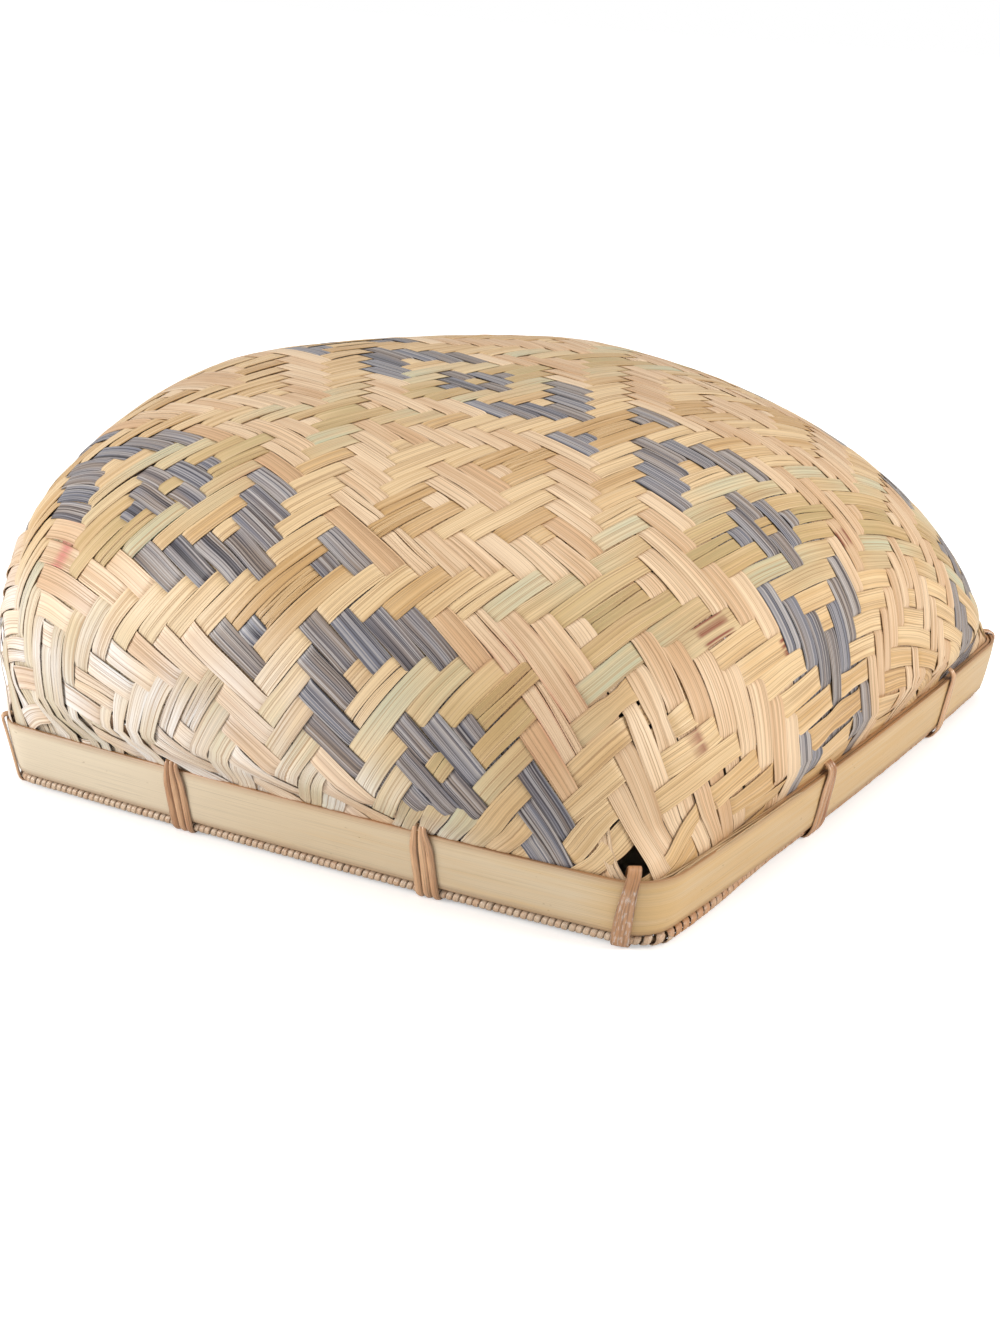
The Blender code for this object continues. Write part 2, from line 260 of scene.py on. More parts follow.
@dataclass(frozen=True)
class StripFinish:
    """Split strips: lengthwise fibres, tinted by the numbers stored along each strip."""

    name: str
    pale: Colour
    deep: Colour
    olive: Colour = (0.50, 0.40, 0.19)
    mint: Colour = (0.55, 0.60, 0.44)
    # Whitish colour of the bleached spots, also used for the painted highlight on the lower front
    # flank.
    bleached: Colour = (0.86, 0.825, 0.79)
    fibre: Colour = (0.44, 0.26, 0.13)
    rust: Colour = (0.24, 0.040, 0.022)
    blush: Colour = (0.50, 0.13, 0.09)
    stain: Colour = (0.66, 0.17, 0.17)
    slow_pitch: Pitch = (2.2, 3.0, 53.0)
    fine_pitch: Pitch = (11.0, 5.0, 91.0)
    patch_pitch: Pitch = (71.0, 26.0, 0.5)
    rough: float = 0.40
    relief: float = 0.00010
    specular: float = 0.36

    def build(self) -> bpy.types.Material:
        """Make the material; it reads the path's numbers and six tints.

        Returns:
            The material.
        """
        g = Graph(self.name)
        along, across, grain, tone = map(g.attribute, PATH_NUMBERS)
        lane = across + grain * LANE_SHIFT
        slow = g.noise((lane, along, grain), self.slow_pitch)
        fine = g.noise((lane, along, grain), self.fine_pitch)
        patch = g.noise((grain, along, across), self.patch_pitch, 2.0)
        line = fine.ramp(0.40, 0.34) * patch.ramp(0.28, 0.55)
        hair = fine.ramp(0.50, 0.38)
        sheen = fine.ramp(0.52, 0.64)
        edge = abs(across).ramp(0.94, 1.0)
        rim = abs(across).ramp(0.70, 1.0)
        olive, mint, bleach, rust, blush, stain = map(g.attribute, TINTS)
        layers = (
            (olive * (0.75 + (slow - 0.5) * 1.4), self.olive),
            (mint * (0.85 + (slow - 0.5) * 1.6), self.mint),
            # Whitening: real bleached spots, and a painted highlight on the lower front flank.
            (bleach * (0.8 + (patch - 0.5) * 2.0), self.bleached),
            (rust.ramp(0.28, 0.72) * slow.ramp(0.43, 0.55) * 0.90, self.rust),
            (blush * (0.08 + rim * 0.42), self.blush),
            (stain.ramp(0.2, 0.7) * 0.7, self.stain),
            (line * 0.36 + hair * 0.40, self.fibre),
        )
        warmth = tone * 0.95 + (slow - 0.5) * 1.5 + (patch - 0.5) * 1.2
        colour = g.mix(warmth, self.pale, self.deep)
        for share, tint in layers:
            colour = g.mix(share, colour, tint)
        # Painted sheen on some fibres; darker at the strip edges, partly the cut edges' own colour
        # and partly painted shade where each strip turns under its neighbours.
        colour = g.shade(colour, 0.955 + sheen * 0.12 - edge * 0.14)
        height = fine * 0.8 + slow * 0.5 - line * 0.4
        rough = self.rough + (slow - 0.5) * 0.30 + hair * 0.10
        return g.finish(colour, rough, height, self.relief, Specular_IOR_Level=self.specular)


@dataclass(frozen=True)
class CharcoalFinish:
    """Strips dyed dark: blue-grey to brown-grey, with lighter and darker streaks."""

    name: str = "strip_charcoal"
    blue: Colour = (0.195, 0.195, 0.235)
    brown: Colour = (0.270, 0.205, 0.165)
    dark: Colour = (0.040, 0.034, 0.040)
    light: Colour = (0.52, 0.48, 0.46)
    slow_pitch: Pitch = (2.6, 4.0, 53.0)
    fine_pitch: Pitch = (10.0, 6.0, 91.0)
    hue_pitch: Pitch = (31.0, 20.0, 1.2)
    rough: float = 0.40
    relief: float = 0.00010
    specular: float = 0.36

    def build(self) -> bpy.types.Material:
        """Make the material; it reads the path's numbers.

        Returns:
            The material.
        """
        g = Graph(self.name)
        along, across, grain, tone = map(g.attribute, PATH_NUMBERS)
        lane = across + grain * LANE_SHIFT
        slow = g.noise((lane, along, grain), self.slow_pitch)
        fine = g.noise((lane, along, grain), self.fine_pitch)
        hue = g.noise((grain, along, across), self.hue_pitch)
        dark = slow.ramp(0.44, 0.30) * 0.6 + fine.ramp(0.47, 0.37) * 0.8
        light = slow.ramp(0.56, 0.70) * 0.5 + fine.ramp(0.54, 0.63) * 0.7
        colour = g.mix((hue - 0.5) * 3.0 + tone, self.blue, self.brown)
        colour = g.mix(dark, colour, self.dark)
        colour = g.mix(light, colour, self.light)
        # Darker towards the strip edges: partly the cut edges' own colour, partly painted shade.
        colour = g.shade(colour, 1.0 - abs(across).ramp(0.86, 1.0) * 0.35)
        height = fine * 0.5 + slow * 0.9
        rough = self.rough + (slow - 0.5) * 0.3
        return g.finish(colour, rough, height, self.relief, Specular_IOR_Level=self.specular)


@dataclass(frozen=True)
class HoopFinish:
    """Skin of a split bamboo strip: long soft grain, faint marks, brown cut edges; painted light
    makes it paler along the front, painted shade warmer on the lapped end.
    """

    name: str
    skin: Colour
    warm: Colour
    cut: Colour
    # Pale colour painted where light falls on the front of the hoops.
    painted_light: Colour = (0.82, 0.74, 0.60)
    mark: Colour = (0.30, 0.19, 0.08)
    fine_pitch: Pitch = (16.0, 34.0, 3.0)
    broad_pitch: Pitch = (9.0, 5.0, 7.0)
    cloud_pitch: Pitch = (22.0, 2.0, 1.0)
    speck_pitch: Pitch = (320.0, 9.0, 5.0)
    rare_pitch: Pitch = (30.0, 2.0, 9.0)
    rough: float = 0.36
    relief: float = 0.00006
    specular: float = 0.5

    def build(self) -> bpy.types.Material:
        """Make the material; it reads along, across, edge and the number that paints light and
        shade.

        Returns:
            The material.
        """
        g = Graph(self.name)
        along, across, edge, age = map(g.attribute, ("along", "across", "edge", "age"))
        place = (along, across, 1.0)
        fine = g.noise(place, self.fine_pitch, 2.0, 0.6)
        broad = g.noise(place, self.broad_pitch, 2.0)
        cloud = g.noise(place, self.cloud_pitch, 2.0)
        speck = g.noise(place, self.speck_pitch)
        rare = g.noise(place, self.rare_pitch)
        # Random warm tone, deepened on the lapped end as painted shade.
        warmth = (broad - 0.4) * 1.0 + (cloud - 0.5) * 0.9 + age * 0.75
        colour = g.mix(warmth, self.skin, self.warm)
        # Painted light: paler along the front and the left corner.
        colour = g.mix((age * -1.0).ramp(0.1, 0.5) * 0.45, colour, self.painted_light)
        colour = g.mix(speck.ramp(0.66, 0.76) * rare.ramp(0.56, 0.68) * 0.6, colour, self.mark)
        colour = g.mix(edge, colour, self.cut)
        # Darker grain lines, with faint painted glints on the lighter fibres.
        grain_and_glint = 1.0 - fine.ramp(0.46, 0.34) * 0.14 + fine.ramp(0.52, 0.66) * 0.05
        colour = g.shade(colour, grain_and_glint + edge * (fine - 0.5) * 0.8)
        rough = self.rough + (broad - 0.5) * 0.2
        return g.finish(colour, rough, fine, self.relief, Specular_IOR_Level=self.specular)


@dataclass(frozen=True)
class CaneFinish:
    """Cane strands and cores: reddish skin with fibres along each strand."""

    name: str
    pale: Colour
    deep: Colour
    rough: float = 0.42
    wear: float = 0.0
    gloss: float = 0.0
    gloss_rough: float = 0.16
    scuffed: Colour = (0.72, 0.60, 0.52)
    fine_pitch: Pitch = (1.0, 60.0, 17.0)
    cloud_pitch: Pitch = (70.0, 13.0, 0.7)
    scuff_pitch: Pitch = (4.0, 260.0, 4.0)
    relief: float = 0.00012
    specular: float = 0.5

    def build(self) -> bpy.types.Material:
        """Make the material; it reads the path's numbers.

        Returns:
            The material.
        """
        g = Graph(self.name)
        along, across, grain, tone = map(g.attribute, PATH_NUMBERS)
        lane = across * 6.0 + grain * 31.0
        fine = g.noise((lane, along, grain), self.fine_pitch, 2.0, 0.6)
        cloud = g.noise((along, grain, across), self.cloud_pitch, 2.0)
        scuff = g.noise((across, along, 1.0), self.scuff_pitch, 3.0, 0.7)
        colour = g.mix(tone * 0.7 + (cloud - 0.45) * 1.2, self.pale, self.deep)
        colour = g.mix(scuff.ramp(0.50, 0.64) * (1 - tone) * self.wear, colour, self.scuffed)
        # Darker towards each strand's edges: painted shade where strands meet and curve away.
        edge = abs(across).ramp(0.72, 1.0)
        colour = g.shade(colour, 1.0 - fine.ramp(0.50, 0.34) * 0.34 - edge * 0.34)
        rough = self.rough + (cloud - 0.5) * 0.3
        coat = {"Coat_Weight": self.gloss, "Coat_Roughness": self.gloss_rough}
        relief, specular = self.relief, self.specular
        return g.finish(colour, rough, fine, relief, Specular_IOR_Level=specular, **coat)


# ---------------------------------------------------------------- small helpers


def unit(vectors: np.ndarray) -> np.ndarray:
    """Vectors scaled to length 1."""
    return vectors / np.maximum(np.linalg.norm(vectors, axis=-1, keepdims=True), 1e-12)


def dot(first: np.ndarray, second: np.ndarray) -> np.ndarray:
    """Dot products of rows, kept as a column."""
    return np.sum(first * second, -1, keepdims=True)


def raised(flat: np.ndarray, height: np.ndarray | float = 0.0) -> np.ndarray:
    """Flat vectors (n, 2) with a height as their third number."""
    column = np.broadcast_to(np.reshape(height, (-1, 1)), (len(flat), 1))
    return np.concatenate([flat, column], 1)


def ease(value: np.ndarray | float) -> np.ndarray:
    """Ease from 0 to 1."""
    value = np.clip(value, 0.0, 1.0)
    return value * value * (3 - 2 * value)


def run_lengths(points: np.ndarray) -> np.ndarray:
    """Length from the first point to each point of a path."""
    steps = np.linalg.norm(np.diff(points, axis=0), axis=1)
    return np.concatenate([[0.0], np.cumsum(steps)])


def ring(count: int) -> Pairs:
    """Corners of a round outline of radius 1."""
    return [(math.cos(a), math.sin(a)) for a in np.arange(count) / count * TURN]


def add_object(name: str, data: bpy.types.ID) -> bpy.types.Object:
    """New object in the scene.

    Args:
        name: its name.
        data: what it shows.

    Returns:
        The object.
    """
    made = bpy.data.objects.new(name, data)
    bpy.context.collection.objects.link(made)
    return made


def store(mesh: bpy.types.Mesh, name: str, values: np.ndarray | Sequence[float]) -> None:
    """Store numbers, or rows of three as vectors, on a mesh's points.

    Args:
        mesh: the mesh.
        name: what they are stored under.
        values: one number or row for each point.
    """
    values = np.asarray(values, np.float32)
    kind, key = ("FLOAT_VECTOR", "vector") if values.ndim == 2 else ("FLOAT", "value")
    mesh.attributes.new(name, kind, "POINT").data.foreach_set(key, values.ravel())


def face_outwards(mesh: bpy.types.Mesh) -> None:
    """Turn the faces of every closed strip of a mesh outwards.

    Args:
        mesh: the mesh.
    """
    solid = bmesh.new()
    solid.from_mesh(mesh)
    bmesh.ops.recalc_face_normals(solid, faces=solid.faces)
    solid.to_mesh(mesh)
    solid.free()


def settle(piece: bpy.types.Object, slot: str, *nodes: str) -> None:
    """Let a finished piece ride on the tray, log its slot and hide what it stands for.

    Args:
        piece: the finished object.
        slot: name of a material slot, only logged.
        nodes: CAD nodes that it replaces.
    """
    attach(piece, BODY)
    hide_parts(*nodes)
    log.info("%s: %d faces, slot %s", piece.name, len(piece.data.polygons), slot)


# ---------------------------------------------------------------- swept strips


@dataclass
class Guide:
    """One path that a profile is swept along."""

    centre: np.ndarray
    side: np.ndarray
    out: np.ndarray
    numbers: dict[str, np.ndarray | float]
    closed: bool = False


class Sweeper:
    """Geometry Nodes tree that sweeps a flat profile along every guide of a mesh.

    Each guide point stores its place, a vector to the strip's edge and one out of its
    face; each profile point stores how far across and how high it lies. The tree puts
    every swept vertex at place + side * across * width + out * lift * thickness.
    """

    INPUTS = (
        ("Guides", "NodeSocketGeometry"),
        ("Profile", "NodeSocketObject"),
        ("Width", "NodeSocketFloat"),
        ("Thickness", "NodeSocketFloat"),
        ("Finish", "NodeSocketMaterial"),
    )
    VECTORS = ("centre", "side", "out")

    def __init__(self) -> None:
        """Build the tree once; each piece then sets its own inputs."""
        self.tree = Tree(bpy.data.node_groups.new("strip_sweep", "GeometryNodeTree"))
        face = self.tree.tree.interface
        self.keys = {
            name: face.new_socket(name, in_out="INPUT", socket_type=kind).identifier
            for name, kind in self.INPUTS
        }
        face.new_socket("Strips", in_out="OUTPUT", socket_type="NodeSocketGeometry")
        self._fill()

    def _named(self, name: str, kind: str) -> Wire:
        """Field that reads a stored attribute."""
        node = "GeometryNodeInputNamedAttribute"
        return self.tree.node(node, {"data_type": kind}, {"Name": name}, "Attribute")

    def _fill(self) -> None:
        """Lay out the nodes."""
        node, vector_math = self.tree.node, self.tree.vector_math
        enter = self.tree.tree.nodes.new("NodeGroupInput").outputs
        guides, profile, width, thickness, finish = (
            Wire(self.tree, enter[name]) for name, _ in self.INPUTS
        )
        paths = node("GeometryNodeMeshToCurve", {}, {"Mesh": guides})
        model = node("GeometryNodeObjectInfo", {}, {"Object": profile}, "Geometry")
        outline = node("GeometryNodeMeshToCurve", {}, {"Mesh": model})
        inputs = {"Curve": paths, "Profile Curve": outline, "Fill Caps": True}
        swept = node("GeometryNodeCurveToMesh", {}, inputs)
        centre, side, out = (self._named(name, "FLOAT_VECTOR") for name in self.VECTORS)
        across, lift = (self._named(name, "FLOAT") for name in ("across", "lift"))
        sideways = vector_math("SCALE", side, Scale=across * width)
        outward = vector_math("SCALE", out, Scale=lift * thickness)
        place = vector_math("ADD", vector_math("ADD", centre, sideways), outward)
        moved = node("GeometryNodeSetPosition", {}, {"Geometry": swept, "Position": place})
        real = node("GeometryNodeRealizeInstances", {}, {"Geometry": moved})
        dressed = node("GeometryNodeSetMaterial", {}, {"Geometry": real, "Material": finish})
        self.tree.close("NodeGroupOutput", Strips=dressed)

    def outline(self, corners: Pairs, extra: dict[str, list[float]]) -> bpy.types.Object:
        """Closed outline of a strip as an edge loop.

        Args:
            corners: (across, lift) of each corner, across from -1 to 1.
            extra: further numbers stored on the corners.

        Returns:
            A helper object that is removed once the piece is made.
        """
        count = len(corners)
        mesh = bpy.data.meshes.new("outline")
        edges = [(i, (i + 1) % count) for i in range(count)]
        mesh.from_pydata([(a, h, 0.0) for a, h in corners], edges, [])
        across, lift = zip(*corners)
        for name, values in ({"across": across, "lift": lift} | extra).items():
            store(mesh, name, values)
        return add_object("outline", mesh)

    def paths(self, name: str, guides: list[Guide]) -> bpy.types.Object:
        """Guides as one mesh of edges that stores their vectors and numbers.

        Args:
            name: the helper's name.
            guides: the paths.

        Returns:
            A helper object that is removed once the piece is made.
        """
        mesh = bpy.data.meshes.new(name)
        edges, start = [], 0
        for guide in guides:
            count = len(guide.centre)
            edges += [(start + i, start + i + 1) for i in range(count - 1)]
            if guide.closed:
                edges.append((start + count - 1, start))
            start += count
        mesh.from_pydata(np.concatenate([g.centre for g in guides]).tolist(), edges, [])
        for key in self.VECTORS:
            store(mesh, key, np.concatenate([getattr(g, key) for g in guides]))
        for key in guides[0].numbers:
            values = [np.broadcast_to(g.numbers[key], len(g.centre)) for g in guides]
            store(mesh, key, np.concatenate(values))
        return add_object(name, mesh)

    def sweep(
        self,
        name: str,
        guides: list[Guide],
        corners: Pairs,
        thickness: float,
        finish: bpy.types.Material,
        extra: dict[str, list[float]] | None = None,
        crease: float = 38.0,
    ) -> bpy.types.Object:
        """Sweep an outline along guides into one plain mesh piece.

        Args:
            name: the piece's name.
            guides: the paths.
            corners: the outline.
            thickness: what the outline's lifts are multiplied by.
            finish: the piece's material.
            extra: further numbers stored on the outline's corners.
            crease: angle in degrees past which an edge is sharp.

        Returns:
            The finished object, with no modifier left on it.
        """
        source = self.paths(name + "_guides", guides)
        outline = self.outline(corners, extra or {})
        modifier = source.modifiers.new("sweep", "NODES")
        modifier.node_group = self.tree.tree
        values = {"Profile": outline, "Width": 1.0, "Thickness": thickness, "Finish": finish}
        for key, value in values.items():
            modifier[self.keys[key]] = value
        shape = source.evaluated_get(bpy.context.evaluated_depsgraph_get())
        result = bpy.data.meshes.new_from_object(shape)
        result.name = name
        source.modifiers.remove(modifier)
        bpy.data.objects.remove(source)
        bpy.data.objects.remove(outline)
        for key in (*self.VECTORS, "lift"):
            if key in result.attributes:
                result.attributes.remove(result.attributes[key])
        face_outwards(result)
        result.shade_smooth()
        result.set_sharp_from_angle(angle=math.radians(crease))
        return add_object(name, result)


# ---------------------------------------------------------------- mouth outline and shell


@dataclass
class Mouth:
    """Mouth outline: four bowed sides and four round corners that meet smoothly."""

    half_x: float = 0.160
    half_y: float = 0.1737
    bow: float = 3.54
    corner: float = 0.015
    shift: tuple[float, float] = (0.00965, 0.0033)
    arcs: list[tuple] = field(default_factory=list)
    lengths: list[float] = field(default_factory=list)

    def __post_init__(self) -> None:
        """Lay out the eight arcs, as the CAD does."""
        a, b = self.half_x - self.bow, self.half_y - self.bow
        slope, rise = a / b, (b * b - a * a) / (2 * b)
        square, linear = 1 + slope * slope, 2 * (slope * rise - a)
        rest = a * a + rise * rise - (self.bow - self.corner) ** 2
        cx = (-linear + math.sqrt(linear * linear - 4 * square * rest)) / (2 * square)
        cy = slope * cx + rise
        t1, t2 = math.atan2(cy, cx - a), math.atan2(cy - b, cx)
        half, full, bow, corner = math.pi, TURN, self.bow, self.corner
        self.arcs = [
            ((a, 0), bow, -t1, t1),
            ((cx, cy), corner, t1, t2),
            ((0, b), bow, t2, half - t2),
            ((-cx, cy), corner, half - t2, half - t1),
            ((-a, 0), bow, half - t1, half + t1),
            ((-cx, -cy), corner, half + t1, half + t2),
            ((0, -b), bow, half + t2, full - t2),
            ((cx, -cy), corner, full - t2, full - t1),
        ]
        self.lengths = [radius * (end - start) for _, radius, start, end in self.arcs]

    @property
    def length(self) -> float:
        """Length once round."""
        return sum(self.lengths)

    def at(self, s: np.ndarray) -> tuple[np.ndarray, np.ndarray]:
        """Points and outward normals at lengths s, anticlockwise from the near corner.

        Args:
            s: lengths round the outline.

        Returns:
            Points without the shift to the part's origin, and unit normals, both (n, 2).
        """
        s = np.atleast_1d(np.asarray(s, float))
        left = (s - self.lengths[1] / 2) % self.length
        ends = np.cumsum(self.lengths)
        which = np.minimum(np.searchsorted(ends, left), 7)
        inside = left - np.concatenate([[0.0], ends])[which]
        centre = np.array([c for c, *_ in self.arcs])[which]
        radius = np.array([r for _, r, *_ in self.arcs])[which]
        angle = np.array([a for *_, a, _ in self.arcs])[which] + inside / radius
        out = np.stack([np.cos(angle), np.sin(angle)], -1)
        return centre + radius[:, None] * out, out

    def corner_at(self, number: int) -> float:
        """Length at the middle of a corner, counted from the near one."""
        return sum(self.lengths[0 : 2 * number : 2]) + number * self.lengths[1]

    def lift(self, s: np.ndarray, across: np.ndarray | float, z: np.ndarray | float) -> np.ndarray:
        """Points in the part's frame, across out of the outline at height z.

        Args:
            s: lengths round the outline.
            across: distance outwards.
            z: height.

        Returns:
            Points (n, 3).
        """
        point, out = self.at(s)
        return raised(point + out * np.reshape(across, (-1, 1)) + np.array(self.shift), z)


@dataclass
class Levels:
    """Heights and offsets of the rim's pieces, as in the CAD."""

    strand: float = 0.0009
    play: float = 0.00035
    core: float = 0.0011
    bead_out: float = -0.0025
    bead_z: float = 0.00355
    edge_z: float = 0.00615
    hoop_height: float = 0.0235
    hoop_thick: float = 0.0013
    hoop_crown: float = 0.0004
    flare: float = 0.0045
    inner_in: float = -0.0050
    lap_step: float = 0.0020
    lap_from: float = 0.016
    lap_past: float = 0.030
    inner_lap: float = 0.110
    step: float = 0.026
    crest: float = 0.0023

    @property
    def hoop_top(self) -> float:
        """Height of the hoops' upper edge."""
        return self.edge_z + self.hoop_height

    def outer_shift(self, mouth: Mouth, s: np.ndarray) -> np.ndarray:
        """How far the outer hoop's outermost layer stands out.

        Args:
            mouth: the mouth outline.
            s: lengths round it.

        Returns:
            Distances out of the hoop's first layer.
        """
        s = np.asarray(s, float) % mouth.length
        past = mouth.corner_at(1) + self.lap_past
        near = ease((s - self.lap_from) / self.step + 1)
        far = ease((s - mouth.length - self.lap_from) / self.step + 1)
        return self.lap_step * np.where(s <= past, near, far)

    def inner_shift(self, mouth: Mouth, s: np.ndarray) -> np.ndarray:
        """How far the inner hoop's innermost layer stands in.

        Args:
            mouth: the mouth outline.
            s: lengths round it.

        Returns:
            Distances in from the hoop's first layer.
        """
        s = np.asarray(s, float) % mouth.length
        start = self.inner_start(mouth)
        rise = ease((s - start) / self.step + 1)
        return self.lap_step * np.where(s > start + self.inner_lap, 0.0, rise)

    def inner_start(self, mouth: Mouth) -> float:
        """Length at which the inner hoop starts."""
        back = mouth.corner_at(2) - mouth.corner_at(1)
        return mouth.corner_at(1) + 0.5 * (back - self.inner_lap)


@dataclass
class Shell:
    """Outer face of the woven shell, charted by angle and length down from the top."""

    mouth: Mouth
    levels: Levels
    belly_out: float = 0.0214
    belly_z: float = 0.04815
    crown_z: float = 0.16675
    belly_corner: float = 1.19
    corner_span: tuple[float, float] = (0.72, 1.40)
    side_power: float = 2.89
    side_root: float = 3.28
    corner_power: float = 1.69
    corner_root: float = 2.75
    swell_lean: float = 0.7
    belly: tuple[float, float] = (-0.0046, -0.0033)
    lean: tuple[float, float] = (-0.0399, -0.0055)
    low: float = 0.30
    inset: float = 0.0016
    swell_share: float = 0.62
    tucked_share: float = 0.16
    turned_share: float = 0.42
    curl: float = 0.45
    tuck: float = 0.0055
    tuck_middle: float = -0.875
    tuck_span: tuple[float, float] = (1.175, 1.575)
    tuck_top: float = 0.42
    left_corner: float = -2.30
    left_full: float = 0.25
    left_fade: float = 0.45
    turns: int = 360
    rows: int = 240
    dome_rows: int = 900
    dome_crowding: float = 2.5
    swell_rows: int = 60
    wall_rows: int = 12
    rim_points: int = 1600

    def __post_init__(self) -> None:
        """Tabulate the meridians at even steps of length."""
        self.angles = np.linspace(-math.pi, math.pi, self.turns, endpoint=False)
        dome, swell = self._dome(), self._swell()
        line = np.concatenate([dome, swell, self._wall()], 1)
        steps = np.linalg.norm(np.diff(line, axis=1), axis=2)
        tucked, turned = self.tucked(self.angles), self.turned(self.angles)
        stretch = 1 + self.tucked_share * tucked - self.turned_share * turned
        below = dome.shape[1] - 1
        steps[:, below : below + swell.shape[1]] *= (self.swell_share * stretch)[:, None]
        length = np.concatenate([np.zeros((self.turns, 1)), np.cumsum(steps, 1)], 1)
        self.reach = length[:, -1]
        self.shares = np.linspace(0, 1, self.rows)
        self.table = np.zeros((self.turns, self.rows, 3))
        for k, reach in enumerate(self.reach):
            for axis in range(3):
                found = np.interp(self.shares * reach, length[k], line[k, :, axis])
                self.table[k, :, axis] = found
        self.table += np.array([*self.mouth.shift, 0.0])

    def tucked(self, angle: np.ndarray) -> np.ndarray:
        """How far the swell over the hoops is drawn in at an angle.

        Args:
            angle: angles of the chart.

        Returns:
            Shares from 0 to 1.
        """
        aside = np.abs((angle - self.tuck_middle + math.pi) % TURN - math.pi)
        full, none = self.tuck_span
        return 1 - ease((aside - full) / (none - full))

    def turned(self, angle: np.ndarray) -> np.ndarray:
        """How far the strips turn down to the hoop about the left corner.

        Args:
            angle: angles of the chart.

        Returns:
            Shares from 0 to 1.
        """
        aside = np.abs(angle - self.left_corner)
        return 1 - ease((aside - self.left_full) / self.left_fade)

    def crown(self, angle: np.ndarray, share: np.ndarray) -> np.ndarray:
        """Points of the dome.

        Args:
            angle: angles of the chart.
            share: how far up each point lies, 0 at the belly and 1 at the top.

        Returns:
            Points, without the shift to the part's origin.
        """
        side = np.maximum(1 - share**self.side_power, 1e-12) ** (1 / self.side_root)
        corner = np.maximum(1 - share**self.corner_power, 1e-12) ** (1 / self.corner_root)
        ratio = np.clip(self.belly_corner * corner / side, *self.corner_span)
        power = 1 / (0.5 - np.log2(ratio))
        x, y = np.cos(angle), np.sin(angle)
        reach = side * (np.abs(x) ** power + np.abs(y) ** power) ** (-1 / power)
        drawn = self.tuck * self.tucked(angle) * (1 - ease(share / self.tuck_top))
        spots = [
            (half + self.belly_out - drawn) * reach * flat + start + (end - start) * share
            for half, flat, start, end in zip(
                (self.mouth.half_x, self.mouth.half_y), (x, y), self.belly, self.lean
            )
        ]
        height = self.belly_z + (self.crown_z - self.belly_z) * share + 0 * angle
        return np.stack([*spots, height], -1)

    def _rim(self) -> tuple[np.ndarray, np.ndarray]:
        """Mouth points and normals that stand under each angle of the chart.

        Returns:
            Points and unit normals, both (turns, 2).
        """
        s = np.linspace(0, self.mouth.length, self.rim_points + 1)[:-1]
        point, out = self.mouth.at(s)
        wide = np.array([self.mouth.half_x, self.mouth.half_y]) + self.belly_out
        angle = np.unwrap(np.arctan2(point[:, 1] / wide[1], point[:, 0] / wide[0]))
        long = np.concatenate([angle - TURN, angle, angle + TURN])
        found = [
            np.stack([np.interp(self.angles, long, np.tile(v[:, k], 3)) for k in (0, 1)], -1)
            for v in (point, out)
        ]
        return found[0], unit(found[1])

    def _dome(self) -> np.ndarray:
        """Meridians from the top down to the belly.

        Returns:
            Points (turns, steps, 3).
        """
        share = (1 - (1 - np.linspace(0, 1, self.dome_rows)) ** self.dome_crowding)[::-1]
        line = self.crown(self.angles[:, None], share[None])
        line[:, 0] = [*self.lean, self.crown_z]
        return line

    def _swell(self) -> np.ndarray:
        """Meridians from the belly down to the hoops' upper edge.

        Returns:
            Points (turns, steps, 3).
        """
        point, out = self._rim()
        flare, height = self.levels.flare, self.levels.hoop_height
        start = raised(point + out * (flare - self.inset), self.levels.hoop_top)
        end = self.crown(self.angles, np.zeros(len(point)))
        lean = unit(np.array([*self.lean, self.crown_z]) - np.array([*self.belly, self.belly_z]))
        gap = end - start
        pull = np.linalg.norm(gap, axis=1, keepdims=True)
        curl = 1 - self.curl * self.tucked(self.angles)[:, None]
        rise = unit(unit(raised(out * flare, height)) + self.swell_lean * gap / pull)
        u = np.linspace(0, 1, self.swell_rows)[::-1][1:][None, :, None]
        return (
            start[:, None] * (2 * u**3 - 3 * u**2 + 1)
            + (rise * pull * curl)[:, None] * (u**3 - 2 * u**2 + u)
            + end[:, None] * (3 * u**2 - 2 * u**3)
            + (lean * pull * curl)[:, None] * (u**3 - u**2)
        )

    def _wall(self) -> np.ndarray:
        """Meridians between the hoops.

        Returns:
            Points (turns, steps, 3).
        """
        point, out = self._rim()
        w = np.linspace(1, self.low, self.wall_rows)[1:][None, :, None]
        spot = point[:, None] + out[:, None] * (self.levels.flare * w - self.inset)
        level = self.levels.edge_z + self.levels.hoop_height * w
        return np.concatenate([spot, np.broadcast_to(level, (*spot.shape[:2], 1))], -1)

    def at(self, flat: np.ndarray) -> tuple[np.ndarray, np.ndarray]:
        """Points of the face at chart places.

        Args:
            flat: chart places (n, 2): length down from the top, turned to each angle.

        Returns:
            Points (n, 3), and how far down each lies, 1 at the chart's lower end.
        """
        angle = np.arctan2(flat[:, 1], flat[:, 0])
        turn = (angle + math.pi) / TURN * self.turns
        k = np.floor(turn).astype(int) % self.turns
        k2, f = (k + 1) % self.turns, (turn - np.floor(turn))
        reach = self.reach[k] * (1 - f) + self.reach[k2] * f
        down = np.hypot(flat[:, 0], flat[:, 1]) / reach
        row = np.clip(down, 0, 1) * (self.rows - 1)
        r = np.minimum(np.floor(row).astype(int), self.rows - 2)
        h = (row - r)[:, None]
        f = f[:, None]
        upper = self.table[k, r] * (1 - f) + self.table[k2, r] * f
        lower = self.table[k, r + 1] * (1 - f) + self.table[k2, r + 1] * f
        return upper * (1 - h) + lower * h, down

    def chart(self) -> np.ndarray:
        """Chart places of the whole table.

        Returns:
            Chart places (turns, rows, 2).
        """
        length = self.reach[:, None] * self.shares[None]
        angle = self.angles[:, None]
        return np.stack([length * np.cos(angle), length * np.sin(angle)], -1)


# ---------------------------------------------------------------- the weave


class Run(Enum):
    """The two ways that the strips run."""

    ALONG = "along"
    ACROSS = "across"


